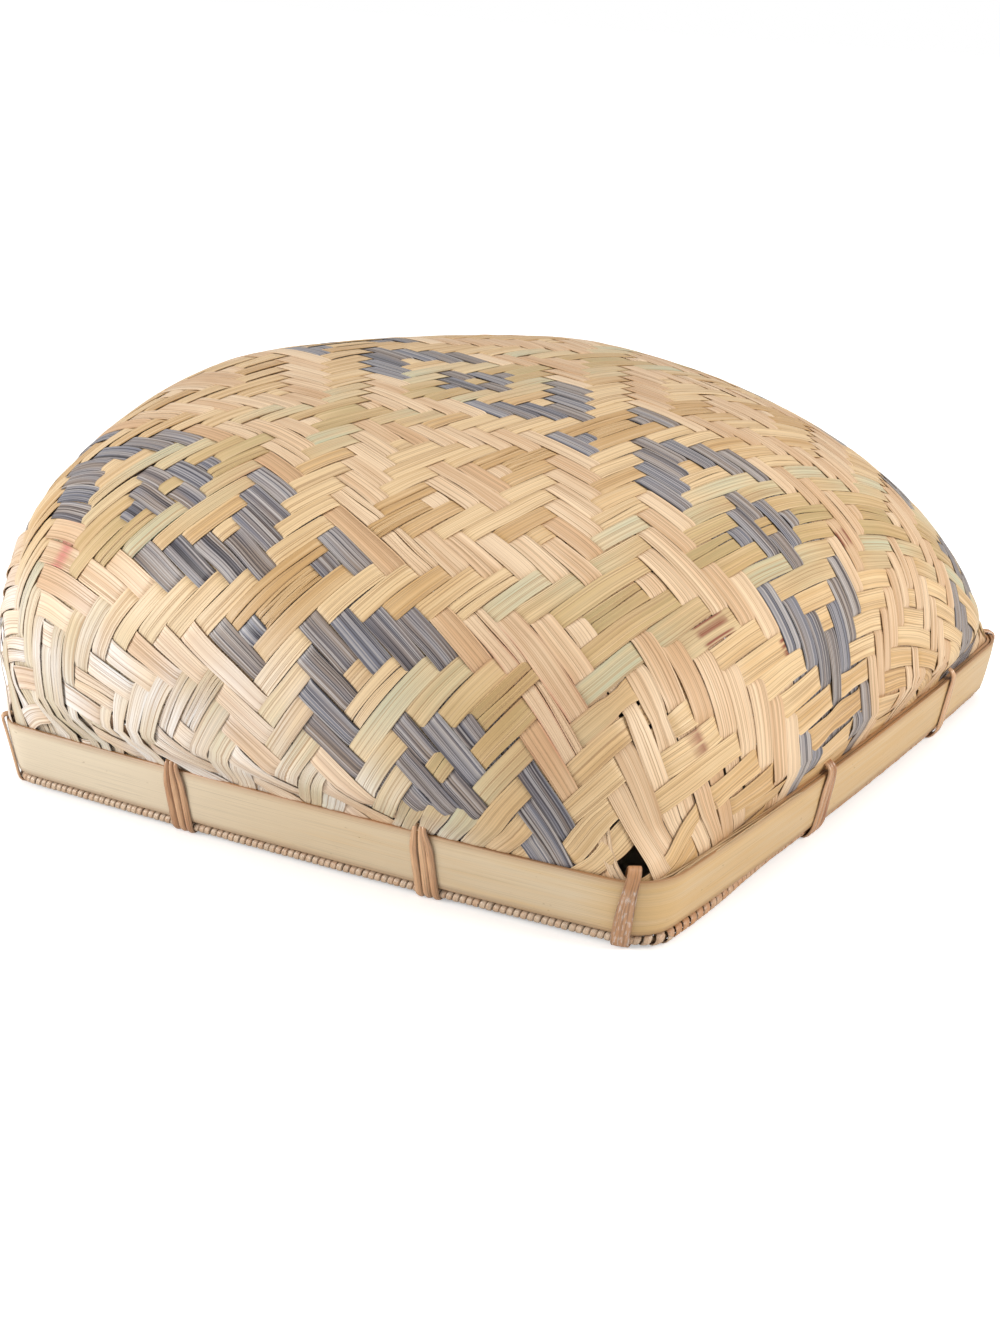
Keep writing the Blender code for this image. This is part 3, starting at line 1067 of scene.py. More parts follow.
@dataclass
class Net:
    """Numbering of the strips over the shell.

    Two smooth polynomials of the chart give, at any place, the number of the crosswise
    strip and of the lengthwise strip that pass there. They were fitted so that the
    strips run, bend and crowd as on the real tray.
    """

    shell: Shell
    size: float = 0.3
    degree: int = 7
    tries: int = 9
    longest_step: float = 0.02
    least_slope: float = 50.0
    crosswise: tuple[float, ...] = (
        -23.281, 31.033, -8.209, 22.325, 3.037, 3.772, -4.367, -10.431, -6.893, -11.144,
        -33.066, 10.544, -21.213, 6.456, 12.722, 12.158, 26.948, 15.709, 23.670, -14.120,
        13.567, 15.438, -9.315, 15.853, -14.896, 1.267, -3.250, -8.526, -7.503, -12.025,
        -5.161, -22.313, 8.243, -13.417, 10.306, -5.501,
    )  # fmt: skip
    lengthwise: tuple[float, ...] = (
        10.636, 13.575, 36.824, -12.900, -0.147, -12.512, -18.557, -1.807, 5.008, -19.631,
        10.620, -8.917, 38.894, -12.507, 23.875, 23.733, -18.759, 12.442, 24.619, -29.894,
        17.213, -3.214, 7.993, -18.398, 5.807, -27.909, 8.712, -11.165, -9.307, 8.069,
        -9.199, 8.559, 9.077, -14.026, 18.222, -4.795,
    )  # fmt: skip

    def __post_init__(self) -> None:
        """Number the chart's table, as first guesses for solve()."""
        places = self.shell.chart()[:, ::4].reshape(-1, 2)
        self.numbers = self.read(places)[0]
        self.places = places
        self.tree = KDTree(len(places))
        for index, (i, j) in enumerate(self.numbers):
            self.tree.insert((i, j, 0.0), index)
        self.tree.balance()

    def read(self, flat: np.ndarray) -> tuple[np.ndarray, np.ndarray]:
        """Strip numbers at chart places, and how they change.

        Args:
            flat: chart places (n, 2).

        Returns:
            Numbers (n, 2): crosswise and lengthwise; and their slopes (n, 2, 2).
        """
        x, y = flat[:, 0] / self.size, flat[:, 1] / self.size
        xs, ys = [np.ones_like(x)], [np.ones_like(y)]
        for _ in range(self.degree):
            xs.append(xs[-1] * x)
            ys.append(ys[-1] * y)
        value = np.zeros((len(x), 2))
        slope = np.zeros((len(x), 2, 2))
        term = 0
        for n in range(self.degree + 1):
            for k in range(n + 1):
                p, q = n - k, k
                for row, factors in enumerate((self.crosswise, self.lengthwise)):
                    c = factors[term]
                    value[:, row] += c * xs[p] * ys[q]
                    if p:
                        slope[:, row, 0] += c * p * xs[p - 1] * ys[q] / self.size
                    if q:
                        slope[:, row, 1] += c * q * xs[p] * ys[q - 1] / self.size
                term += 1
        return value, slope

    def solve(self, numbers: np.ndarray, guess: np.ndarray | None = None) -> np.ndarray:
        """Chart places at which the strips have these numbers.

        Args:
            numbers: wanted numbers (n, 2).
            guess: places to start from, or None for the nearest tabulated ones.

        Returns:
            Chart places (n, 2).
        """
        if guess is None:
            guess = np.array([self.places[self.tree.find((i, j, 0.0))[1]] for i, j in numbers])
        flat = guess.copy()
        for _ in range(self.tries):
            value, slope = self.read(flat)
            miss = numbers - value
            det = slope[:, 0, 0] * slope[:, 1, 1] - slope[:, 0, 1] * slope[:, 1, 0]
            det = np.where(np.abs(det) < self.least_slope, self.least_slope, det)
            dx = (slope[:, 1, 1] * miss[:, 0] - slope[:, 0, 1] * miss[:, 1]) / det
            dy = (-slope[:, 1, 0] * miss[:, 0] + slope[:, 0, 0] * miss[:, 1]) / det
            step = np.stack([dx, dy], -1)
            size = np.linalg.norm(step, axis=1, keepdims=True)
            flat += step * np.minimum(1, self.longest_step / np.maximum(size, 1e-9))
        return flat


@dataclass(frozen=True)
class Draft:
    """Over-three twill that reverses every ten strips both ways, in nested diamonds."""

    half: int = 10
    float_length: int = 3
    charcoal_from: int = 7

    def fold(self, number: np.ndarray) -> np.ndarray:
        """Strips from the nearest of the reversals that lie twenty apart."""
        turn = 2 * self.half
        return np.abs((number + self.half) % turn - self.half)

    def lengthwise_over(self, i: np.ndarray, j: np.ndarray) -> np.ndarray:
        """Whether lengthwise strip j passes over crosswise strip i.

        Args:
            i: numbers of crosswise strips.
            j: numbers of lengthwise strips.

        Returns:
            True where the lengthwise strip is on the outside.
        """
        a, b = self.fold(i), self.fold(j)
        phase = (a - b) % (2 * self.float_length)
        over = (phase >= 2) & (phase <= 4)
        locked = (a == 0) & (b == self.half)
        return over & ~locked

    def is_charcoal(self, number: int) -> bool:
        """Whether a lengthwise strip belongs to a charcoal band of seven."""
        return int(self.fold(np.array(number))) >= self.charcoal_from


@dataclass(frozen=True)
class Gap:
    """Place where the strips are narrower, so that the weave shows a chink."""

    place: Place
    radius: float


@dataclass(frozen=True)
class Hole:
    """Opening by a corner between strips, on its lower left; in shares of a strip's width."""

    crosswise: float
    lengthwise: float
    push: float = 0.90
    trim: float = 0.45
    reach: float = 1.4
    long_reach: float = 4.5
    fade: float = 1.3


HOLES = (Hole(7.5, -4.5),)

CHINKS = (
    Gap((0.1468, -0.1439, 0.0867), 0.006),
    Gap((0.1544, -0.1393, 0.0814), 0.007),
    Gap((0.1412, -0.1475, 0.0905), 0.005),
    Gap((0.1478, -0.1715, 0.0345), 0.007),
    Gap((0.1740, -0.0150, 0.0620), 0.008),
    Gap((0.1770, -0.0400, 0.0560), 0.007),
    Gap((-0.1480, -0.1290, 0.0560), 0.012),
    Gap((-0.0650, -0.1880, 0.0480), 0.009),
    Gap((0.1650, -0.1150, 0.0500), 0.012),
    Gap((-0.1700, 0.0600, 0.0700), 0.010),
    Gap((0.0400, 0.1850, 0.0600), 0.010),
)


MINT = {-3: 0.75, -2: 0.35, 2: 0.7, 3: 0.3}  # strips from a motif's middle: strength of dye
OLIVE = {-2: 0.35, -1: 0.6, 0: 0.9, 1: 0.75, 2: 0.3}

# Areas as limits (axis, level, fade): fully inside a fade below each level
# FLANK: the lower front flank, whose strips get a painted highlight (whitening).
FLANK = ((2, 0.115, 0.05), (0, 0.085, 0.10), (1, -0.05, 0.06))
LOOSE_AREAS = (
    (0.7, ((2, 0.11, 0.05),)),
    (0.6, ((0, 0.02, 0.14), (1, -0.06, 0.08))),
    (5.0, ((0, -0.125, 0.03), (2, 0.135, 0.03))),
)


def within(points: np.ndarray, limits: tuple) -> np.ndarray:
    """How far points lie inside an area.

    Args:
        points: points (n, 3).
        limits: the area's limits.

    Returns:
        Shares from 0 to 1.
    """
    share = np.ones(len(points))
    for axis, level, fade in limits:
        share = share * ease((level - points[:, axis]) / fade)
    return share


def read_off(x: np.ndarray, stations: np.ndarray, values: np.ndarray) -> np.ndarray:
    """Values along a strip at places between its stations.

    Args:
        x: the wanted places.
        stations: places at which the values are given.
        values: numbers (n,) or vectors (n, 3).

    Returns:
        The values at x.
    """
    if values.ndim == 1:
        return np.interp(x, stations, values)
    return np.stack([np.interp(x, stations, v) for v in values.T], -1)


@dataclass(frozen=True)
class Strip:
    """One strip, with its own source of chance, how deep its colour is and how wide it is."""

    run: Run
    number: int
    chance: np.random.Generator
    tone: float
    cover: float


@dataclass
class Weave:
    """The woven shell as separate split strips that pass over and under each other."""

    net: Net
    gaps: list[Gap] = field(default_factory=list)
    holes: tuple[Hole, ...] = HOLES
    draft: Draft = field(default_factory=Draft)
    cover: float = 0.982
    cover_spread: float = 0.012
    widest: float = 0.0105
    thickness: float = 0.00036
    lift: float = 0.00042
    arch: float = 0.00016
    middle: float = -0.00085
    ply: float = 0.00004
    dive: float = 0.25
    tilt_spread: float = 0.026
    most_tilt: float = 0.10
    drift: float = 0.017
    drift_waves: tuple[float, ...] = (4.0, 9.0, 23.0)
    chink: float = 0.26
    split_share: float = 0.09
    frayed: int = -10
    steps: int = 4
    least_steps: int = 5
    least_gap: float = 0.1
    grain_step: float = 0.7
    frays: int = 5
    end: float = 0.999
    inner_below: float = 0.09
    span_i: tuple[int, int] = (-54, 18)
    span_j: tuple[int, int] = (-28, 46)
    right_from: int = 8
    middle_from: int = -24
    front_from: int = -6
    bleached: tuple[int, int] = (-5, 6)
    bleached_at: float = -15.0
    bleached_reach: float = 3.2
    rust_spots: Spots = (
        ((0.1506, -0.0980, 0.1055), 0.0062), ((0.1518, -0.0890, 0.1070), 0.0050),
        ((0.1671, -0.1276, 0.0712), 0.0056), ((0.1717, -0.1248, 0.0645), 0.0044),
        ((0.1665, -0.0622, 0.0950), 0.0046), ((0.1523, -0.1666, 0.0554), 0.0034),
        ((0.1554, 0.0180, 0.1145), 0.0046), ((0.0100, 0.0300, 0.1600), 0.0046),
    )  # fmt: skip
    blush_spots: Spots = (
        ((-0.0301, -0.1423, 0.1508), 0.0080), ((-0.1074, -0.1678, 0.1132), 0.0100),
        ((0.1014, -0.1632, 0.1059), 0.0120), ((0.1246, -0.1640, 0.0899), 0.0150),
        ((0.1267, -0.1734, 0.0770), 0.0100),
    )  # fmt: skip
    stain_spots: Spots = (((-0.1046, -0.1696, 0.1127), 0.0060),)
    outline: Pairs = (
        (-1.0, -0.10), (-0.98, -0.50), (0.98, -0.50), (1.0, -0.10),
        (0.97, 0.40), (0.50, 0.52), (-0.50, 0.52), (-0.97, 0.40),
    )  # fmt: skip

    def beside(
        self, run: Run, lane: np.ndarray, down: np.ndarray, guess: np.ndarray | None
    ) -> tuple[np.ndarray, np.ndarray, np.ndarray]:
        """Points of the face at strip numbers.

        Args:
            run: which way the strips run.
            lane: the strips' own numbers, with any drift.
            down: numbers of the crossing strips there.
            guess: chart places to start from.

        Returns:
            Chart places, points and how far down each lies.
        """
        pair = (down, lane) if run is Run.ALONG else (lane, down)
        numbers = np.stack([part.ravel() for part in pair], -1)
        flat = self.net.solve(numbers, guess)
        spot, depth = self.net.shell.at(flat)
        return flat, spot.reshape(*lane.shape, 3), depth.reshape(lane.shape)

    def frames(
        self, run: Run, lane: np.ndarray, down: np.ndarray, guess: np.ndarray | None
    ) -> dict[str, np.ndarray]:
        """Places and directions of strips at even steps.

        Args:
            run: which way the strips run.
            lane: the strips' own numbers, with any drift.
            down: numbers of the crossing strips there.
            guess: chart places to start from.

        Returns:
            Chart places, points, depths, sideways and outward directions, and pitches.
        """
        flat, centre, depth = self.beside(run, lane, down, guess)
        left, right, back, ahead = (
            self.beside(run, lane + aside, down + onward, flat)[1]
            for aside, onward in ((-0.5, 0.0), (0.5, 0.0), (0.0, -0.2), (0.0, 0.2))
        )
        centre = 0.5 * centre + 0.25 * (left + right)
        forward = unit(ahead - back)
        cross = right - left
        cross = cross - forward * dot(cross, forward)
        side = unit(cross)
        out = unit(np.cross(side, forward))
        inner = self.net.shell.table[0, 0] - UP * self.inner_below
        out = out * np.sign(dot(out, centre - inner))
        pitch = np.linalg.norm(cross, axis=-1)
        values = (flat, centre, depth, side, out, pitch)
        return dict(zip(("flat", "centre", "depth", "side", "out", "pitch"), values))

    def lattice(self, run: Run, rng: np.random.Generator) -> dict[str, np.ndarray]:
        """Every strip of one run at even steps, pushed aside round the holes.

        Args:
            run: which way the strips run.
            rng: source of chance.

        Returns:
            Arrays indexed [strip, step], with the strips' and the steps' numbers.
        """
        spans = (self.span_j, self.span_i)
        own, other = spans if run is Run.ALONG else spans[::-1]
        strips = np.arange(own[0], own[1] + 1)
        stations = np.arange(other[0] * self.steps, other[1] * self.steps + 1) / self.steps
        count = len(strips)
        drift = np.zeros((count, len(stations)))
        for wave in self.drift_waves:
            phase = rng.uniform(0, TURN, (count, 1))
            sway = np.sin(stations[None] * TURN / wave + phase)
            drift += rng.normal(0, self.drift, (count, 1)) * sway
        lane = strips[:, None] + drift
        down = np.broadcast_to(stations[None], lane.shape)
        grid = self.frames(run, lane, down, None)
        squeeze, push = np.zeros_like(lane), np.zeros_like(lane)
        for gap in self.gaps:
            away = grid["centre"] - np.array(gap.place)
            reach = np.sum(away * away, -1) / gap.radius**2
            squeeze = np.maximum(squeeze, self.chink * np.exp(-reach))
        for hole in self.holes:
            if run is Run.ALONG:
                past = hole.lengthwise - strips[:, None]
                onward = np.maximum(hole.crosswise - stations[None], 0.0) / hole.reach
            else:
                past = strips[:, None] - hole.crosswise
                onward = stations[None] - hole.lengthwise + 0.5
                onward = onward / np.where(onward > 0, hole.long_reach, hole.reach)
            near = np.exp(-(onward**2) - np.maximum(past - 0.5, 0) / hole.fade) * (past > 0)
            squeeze = np.maximum(squeeze, hole.trim * near)
            push += (-1 if run is Run.ALONG else 1) * hole.push * near
        grid = self.frames(run, lane + push, down, grid["flat"])
        inside = grid["depth"] < self.end
        return grid | {"strips": strips, "stations": stations, "squeeze": squeeze, "inside": inside}

    def overs(self, strip: Strip, cells: np.ndarray) -> np.ndarray:
        """Whether a strip passes over each of the crossing strips.

        Args:
            strip: the strip.
            cells: numbers of the crossing strips.

        Returns:
            True where the strip is on the outside.
        """
        own = np.full_like(cells, strip.number)
        if strip.run is Run.ALONG:
            return self.draft.lengthwise_over(cells, own)
        return ~self.draft.lengthwise_over(own, cells)

    def stops(
        self, strip: Strip, start: float, end: float
    ) -> tuple[np.ndarray, np.ndarray, np.ndarray, np.ndarray]:
        """Stations of one strip, close together where it dives, with its heights there.

        Args:
            strip: the strip.
            start: its first station.
            end: its last station.

        Returns:
            Stations, heights from -1 to 1, arching from 0 to 1, and sideways tilts.
        """
        cells = np.arange(math.floor(start) - 1, math.ceil(end) + 2)
        over = self.overs(strip, cells)
        chance, fade = strip.chance, 2 * self.dive
        dive = (-self.dive, -self.dive / 2, 0.0, self.dive / 2, self.dive)
        spots: list[float] = []
        for k, cell in enumerate(cells[:-1]):
            around = dive if over[k] != over[k + 1] else (0.0,)
            spots += [float(cell), *(cell + 0.5 + step for step in around)]
        first, last = start + self.least_gap, end - self.least_gap
        x = np.array([start, *[v for v in spots if first < v < last], end])
        level, rise, tilt = np.zeros_like(x), np.zeros_like(x), np.zeros_like(x)
        turns = [k for k in range(1, len(cells)) if over[k] != over[k - 1]]
        bounds = [0, *turns, len(cells)]
        for first, last in zip(bounds[:-1], bounds[1:]):
            low, high = cells[first] - 0.5, cells[last - 1] + 0.5
            sign = 1.0 if over[first] else -1.0
            gate = ease((x - low) / fade + 0.5) * ease((high - x) / fade + 0.5)
            level += sign * gate
            if sign > 0:
                span = np.clip((x - low) / (high - low), 0, 1)
                rise += np.sin(math.pi * span) * min(high - low, 4.0) / 3 * chance.uniform(0.4, 1.6)
                tilt += gate * chance.normal(0, self.tilt_spread)
        return x, level, rise, tilt

    def guides(self, run: Run) -> list[tuple[int, Guide]]:
        """Every strip of one run as paths for the sweeper.

        Args:
            run: which way the strips run.

        Returns:
            The number of the strip and the path of each of its ribbons.
        """
        across = run is Run.ACROSS
        grid = self.lattice(run, np.random.default_rng(SEED + across))
        made = []
        for k, number in enumerate(grid["strips"]):
            chance = np.random.default_rng(STRIP_SEED + ACROSS_SEED * across + int(number))
            tone, wide = chance.random(), chance.normal(0, self.cover_spread)
            strip = Strip(run, number, chance, tone, self.cover + wide)
            inside = np.concatenate([[0], grid["inside"][k].astype(int), [0]])
            ends = np.flatnonzero(np.diff(inside))
            for start, end in zip(ends[::2], ends[1::2]):
                if end - start >= self.least_steps:
                    ribbons = self.ribbons(strip, k, (start, end), grid)
                    made += [(number, ribbon) for ribbon in ribbons]
        return made

    def ribbons(
        self, strip: Strip, k: int, ends: tuple[int, int], grid: dict[str, np.ndarray]
    ) -> list[Guide]:
        """Paths of one strip between two places where it leaves the shell.

        Args:
            strip: the strip.
            k: its row in the lattice.
            ends: its first step, and the one past its last.
            grid: the lattice.

        Returns:
            One path, or several where the strip is split.
        """
        stations = grid["stations"]
        first, last = stations[ends[0]], stations[ends[1] - 1]
        x, level, rise, tilt = self.stops(strip, first, last)
        centre, side, out, pitch, squeeze = (
            read_off(x, stations, grid[key][k])
            for key in ("centre", "side", "out", "pitch", "squeeze")
        )
        side, out = unit(side), unit(out)
        half = 0.5 * np.minimum(pitch, self.widest) * strip.cover * (1 - squeeze)
        loose = self.looseness(centre)
        height = self.middle + self.lift * level + self.arch * rise * loose
        centre = centre + out * height[:, None]
        turn = np.clip((tilt * loose)[:, None], -self.most_tilt, self.most_tilt)
        side, out = unit(side + out * turn), unit(out - side * turn)
        numbers = self.tints(strip, x, centre)
        along = run_lengths(centre) + strip.number * self.grain_step
        numbers |= {"along": along, "tone": strip.tone}
        made = []
        for part, (offset, width, grain) in enumerate(self.halves(strip, x)):
            place = centre + side * (half * offset)[:, None] + out * (self.ply * part)
            edge = side * (half * width)[:, None]
            made.append(Guide(place, edge, out, numbers | {"grain": grain}))
        return made

    def halves(self, strip: Strip, x: np.ndarray) -> list[tuple[np.ndarray, np.ndarray, float]]:
        """Ribbons that one strip consists of: itself, two where it split, five if frayed.

        Args:
            strip: the strip.
            x: its stations.

        Returns:
            Sideways offset, width and grain of each ribbon, widths as shares.
        """
        chance = strip.chance
        grain = chance.random()
        wander = 0.05 * np.sin(x * TURN / 5.3 + grain * 9)
        if strip.run is Run.ACROSS and strip.number == self.frayed:
            made = []
            for k in range(self.frays):
                wave, phase = chance.uniform(2.2, 5.0), chance.uniform(0, TURN)
                offset = -0.80 + 0.40 * k + 0.035 * np.sin(x * TURN / wave + phase)
                made.append((offset, 0.190 + 0.012 * np.sin(x * 2 + k), chance.random()))
            return made
        if chance.random() > self.split_share:
            return [(np.zeros_like(x), 1 + 0.6 * wander, grain)]
        cut = chance.uniform(-0.4, 0.4) + wander * 2
        slit = 0.035 + 0.02 * np.sin(x * TURN / 3.1)
        left, right = (1 + cut - slit) / 2, (1 - cut - slit) / 2
        return [(left - 1, left, grain), (1 - right, right, chance.random())]

    @staticmethod
    def looseness(centre: np.ndarray) -> np.ndarray:
        """How loosely the strips lie: most at the far left, more down the sides.

        Args:
            centre: points of a strip.

        Returns:
            Factors, about 1 on most of the crown.
        """
        loose = 0.8
        for gain, limits in LOOSE_AREAS:
            loose = loose + gain * within(centre, limits)
        return loose

    def tints(self, strip: Strip, x: np.ndarray, centre: np.ndarray) -> dict[str, np.ndarray]:
        """Dyes, bleach with a painted highlight on the lower front flank, rust and stains of one
        strip along its length, each from 0 to 1.

        Args:
            strip: the strip.
            x: its stations.
            centre: its points.

        Returns:
            The tints that StripFinish reads.
        """
        chance = strip.chance
        wave = 0.5 + 0.5 * np.sin(x * TURN / chance.uniform(6, 11) + chance.uniform(0, TURN))
        found = dict.fromkeys(TINTS, np.zeros_like(x))
        flank = within(centre, FLANK)
        if strip.run is Run.ACROSS:
            half = self.draft.half
            place = (strip.number + half) % (2 * half) - half
            found["mint"] = MINT.get(place, 0.0) * (0.25 + 0.75 * wave)
            found["olive"] = OLIVE.get(place, 0.05) * (0.5 + 0.5 * wave)
            if self.bleached[0] <= strip.number <= self.bleached[1]:
                spot = np.exp(-(((x - self.bleached_at) / self.bleached_reach) ** 2))
                found["bleach"] = 0.85 * spot * (0.3 + 0.7 * wave)
                found["mint"] = np.maximum(found["mint"], 0.5 * spot * (1 - wave))
            found["mint"] = np.maximum(found["mint"], 0.45 * flank * (1 - wave))
        # Painted highlight: the lower front flank is whitened through the bleach tint.
        found["bleach"] = np.maximum(found["bleach"], 0.95 * flank * (0.35 + 0.65 * wave))
        spots = {"rust": self.rust_spots, "blush": self.blush_spots, "stain": self.stain_spots}
        for tint, places in spots.items():
            for spot, reach in places:
                gap = np.linalg.norm(centre - np.array(spot), axis=1)
                found[tint] = np.maximum(found[tint], np.exp(-((gap / reach) ** 2)))
        return found

    def build(self, sweeper: Sweeper) -> None:
        """Make and dress the strips, a few pieces for each run and colour.

        Args:
            sweeper: what the strips are swept with.
        """
        rose = StripFinish("strip_rose_cream", (0.84, 0.63, 0.42), (0.66, 0.42, 0.235)).build()
        honey = StripFinish("strip_honey", (0.81, 0.59, 0.34), (0.60, 0.365, 0.155)).build()
        charcoal = CharcoalFinish().build()
        along, across = self.guides(Run.ALONG), self.guides(Run.ACROSS)
        dyed, right = self.draft.is_charcoal, self.right_from
        middle, front = self.middle_from, self.front_from
        sets = (
            ("strips_along_left", along, rose, lambda n: not dyed(n) and n < right),
            ("strips_along_right", along, rose, lambda n: not dyed(n) and n >= right),
            ("strips_along_charcoal", along, charcoal, dyed),
            ("strips_across_back", across, honey, lambda n: n < middle),
            ("strips_across_middle", across, honey, lambda n: middle <= n < front),
            ("strips_across_front", across, honey, lambda n: n >= front),
        )
        for name, guides, finish, wanted in sets:
            chosen = [guide for number, guide in guides if wanted(number)]
            piece = sweeper.sweep(name, chosen, self.outline, self.thickness, finish)
            settle(piece, "woven_body", "woven_body")


# ---------------------------------------------------------------- the rim


class Side(Enum):
    """The two hoops, by the face of the weave that they lie on."""

    OUTER = "outer"
    INNER = "inner"


@dataclass
class Hoops:
    """The two flat hoops that clamp the weave's edge."""

    mouth: Mouth
    levels: Levels
    spacing: float = 0.004
    softened: float = 0.0004
    # Painted light and shade on the hoops: warmer over the lapped end, paler along the front and
    # the left corner.
    painted_shade_length: float = 0.03
    painted_light_from: float = 0.06
    painted_light_rise: float = 0.24
    painted_light_to: float = 0.46
    painted_light_fall: float = 0.10
    painted_light_strength: float = 0.5
    fibre_spans: Pairs = ((-0.001, 0.104), (0.004, 0.082), (0.010, 0.060), (0.030, 0.112))
    fibre_step: float = 0.0025
    fibre_taper: float = 0.012
    fibre_inset: float = 0.0011
    fibre_apart: float = 0.00085
    fibre_low: float = 0.0007
    fibre_rise: float = 0.0009
    fibre_sway: tuple[float, float] = (0.00015, 90.0)
    fibre_wave: tuple[float, float] = (0.0002, 130.0)
    fibre_half: float = 0.00042
    fibre_thick: float = 0.00045

    def outline(self) -> tuple[Pairs, dict[str, list[float]]]:
        """Section of a hoop: a thin strip with a crowned face and softened cut edges.

        Returns:
            The section's corners, and how far each is a cut edge.
        """
        half, thick = self.levels.hoop_height / 2, self.levels.hoop_thick
        crown, soft = self.levels.hoop_crown, self.softened
        corners = [
            (-half, -thick), (half, -thick),
            (half, -0.25 * thick), (half - soft, 0.0),
            (half * 0.72, crown * 0.65), (half * 0.3, crown), (-half * 0.3, crown),
            (-half * 0.72, crown * 0.65), (-half + soft, 0.0), (-half, -0.25 * thick),
        ]  # fmt: skip
        edge = [1.0, 1.0, 1.0, 0.55, 0.0, 0.0, 0.0, 0.0, 0.55, 1.0]
        return [(a / half, h) for a, h in corners], {"edge": edge}

    def guide(self, s: np.ndarray, face: np.ndarray, side: Side) -> Guide:
        """Path of a hoop's face.

        Args:
            s: lengths round the mouth.
            face: how far out the hoop's face stands there, at the lower edge.
            side: which hoop it is.

        Returns:
            The path with its face and edge directions.
        """
        levels, sign = self.levels, -1.0 if side is Side.INNER else 1.0
        middle = levels.edge_z + levels.hoop_height / 2
        centre = self.mouth.lift(s, face + levels.flare / 2, middle)
        _, out = self.mouth.at(s)
        flat = raised(out)
        up = raised(out * levels.flare, levels.hoop_height)
        normal = unit(np.cross(np.cross(UP, flat), up)) * sign
        normal *= np.sign(dot(normal, flat * sign))
        # Painted shade warms the lapped end; painted light pales the front and the left corner.
        left = self.mouth.length - s
        painted_light = ease((left - self.painted_light_from) / self.painted_light_rise)
        painted_light = self.painted_light_strength * painted_light * ease((self.painted_light_to - left) / self.painted_light_fall)
        age = ease((self.painted_shade_length - left) / self.painted_shade_length) - painted_light
        return Guide(centre, up / 2, normal, {"along": s * 1.0, "age": age})

    def hoop(
        self,
        sweeper: Sweeper,
        side: Side,
        first: float,
        last: float,
        face: float,
        finish: HoopFinish,
    ) -> None:
        """Make and dress one hoop, whose end steps over its start.

        Args:
            sweeper: what the strip is swept with.
            side: which hoop it is.
            first: length round the mouth at which it starts.
            last: length at which it ends.
            face: how far out its first layer's face stands.
            finish: its finish.
        """
        levels = self.levels
        s = np.linspace(first, last, int((last - first) / self.spacing))
        step = -levels.lap_step if side is Side.INNER else levels.lap_step
        shift = step * ease((s - (self.mouth.length + first - levels.step)) / levels.step)
        corners, extra = self.outline()
        guides = [self.guide(s, face + shift, side)]
        name, node = f"hoop_{side.value}", f"{side.value}_hoop"
        piece = sweeper.sweep(name, guides, corners, 1.0, finish.build(), extra)
        settle(piece, node, node)

    def fibres(self, sweeper: Sweeper) -> None:
        """Make the split-off fibres that lie between the hoop's layers and the weave.

        Args:
            sweeper: what the fibres are swept with.
        """
        rng = np.random.default_rng(FIBRE_SEED)
        guides = []
        for k, (first, last) in enumerate(self.fibre_spans):
            s = np.arange(first, last, self.fibre_step)
            ends = ease((s - first) / self.fibre_taper) * ease((last - s) / self.fibre_taper)
            out = self.levels.flare - self.fibre_inset + self.fibre_apart * k
            out = out + self.fibre_sway[0] * np.sin(s * self.fibre_sway[1] + k)
            height = self.levels.hoop_top - self.fibre_low + self.fibre_rise * ends
            height = height + self.fibre_wave[0] * np.sin(s * self.fibre_wave[1] + 2 * k)
            side = raised(self.mouth.at(s)[1]) * self.fibre_half
            numbers = {"along": s * 1.0, "grain": rng.random(), "tone": rng.random()}
            centre = self.mouth.lift(s, out, height)
            guides.append(Guide(centre, side, np.broadcast_to(UP, side.shape), numbers))
        finish = CaneFinish("hoop_fibre", (0.62, 0.43, 0.24), (0.40, 0.24, 0.11), rough=0.5).build()
        thick = self.fibre_thick
        piece = sweeper.sweep("hoop_edge_fibres", guides, ring(8), thick, finish, crease=70)
        settle(piece, "outer_hoop", "outer_hoop")

    def build(self, sweeper: Sweeper) -> None:
        """Make and dress both hoops and the loose fibres between them.

        Args:
            sweeper: what the strips are swept with.
        """
        levels, mouth = self.levels, self.mouth
        skin = HoopFinish("hoop_skin", (0.66, 0.53, 0.36), (0.64, 0.43, 0.20), (0.38, 0.20, 0.09))
        inside = HoopFinish(
            "hoop_inside", (0.60, 0.44, 0.24), (0.50, 0.33, 0.15), (0.36, 0.22, 0.10), rough=0.55
        )
        first, last = levels.lap_from, mouth.length + mouth.corner_at(1) + levels.lap_past
        self.hoop(sweeper, Side.OUTER, first, last, 0.0, skin)
        self.fibres(sweeper)
        first = levels.inner_start(mouth)
        last = mouth.length + first + levels.inner_lap
        self.hoop(sweeper, Side.INNER, first, last, levels.inner_in, inside)


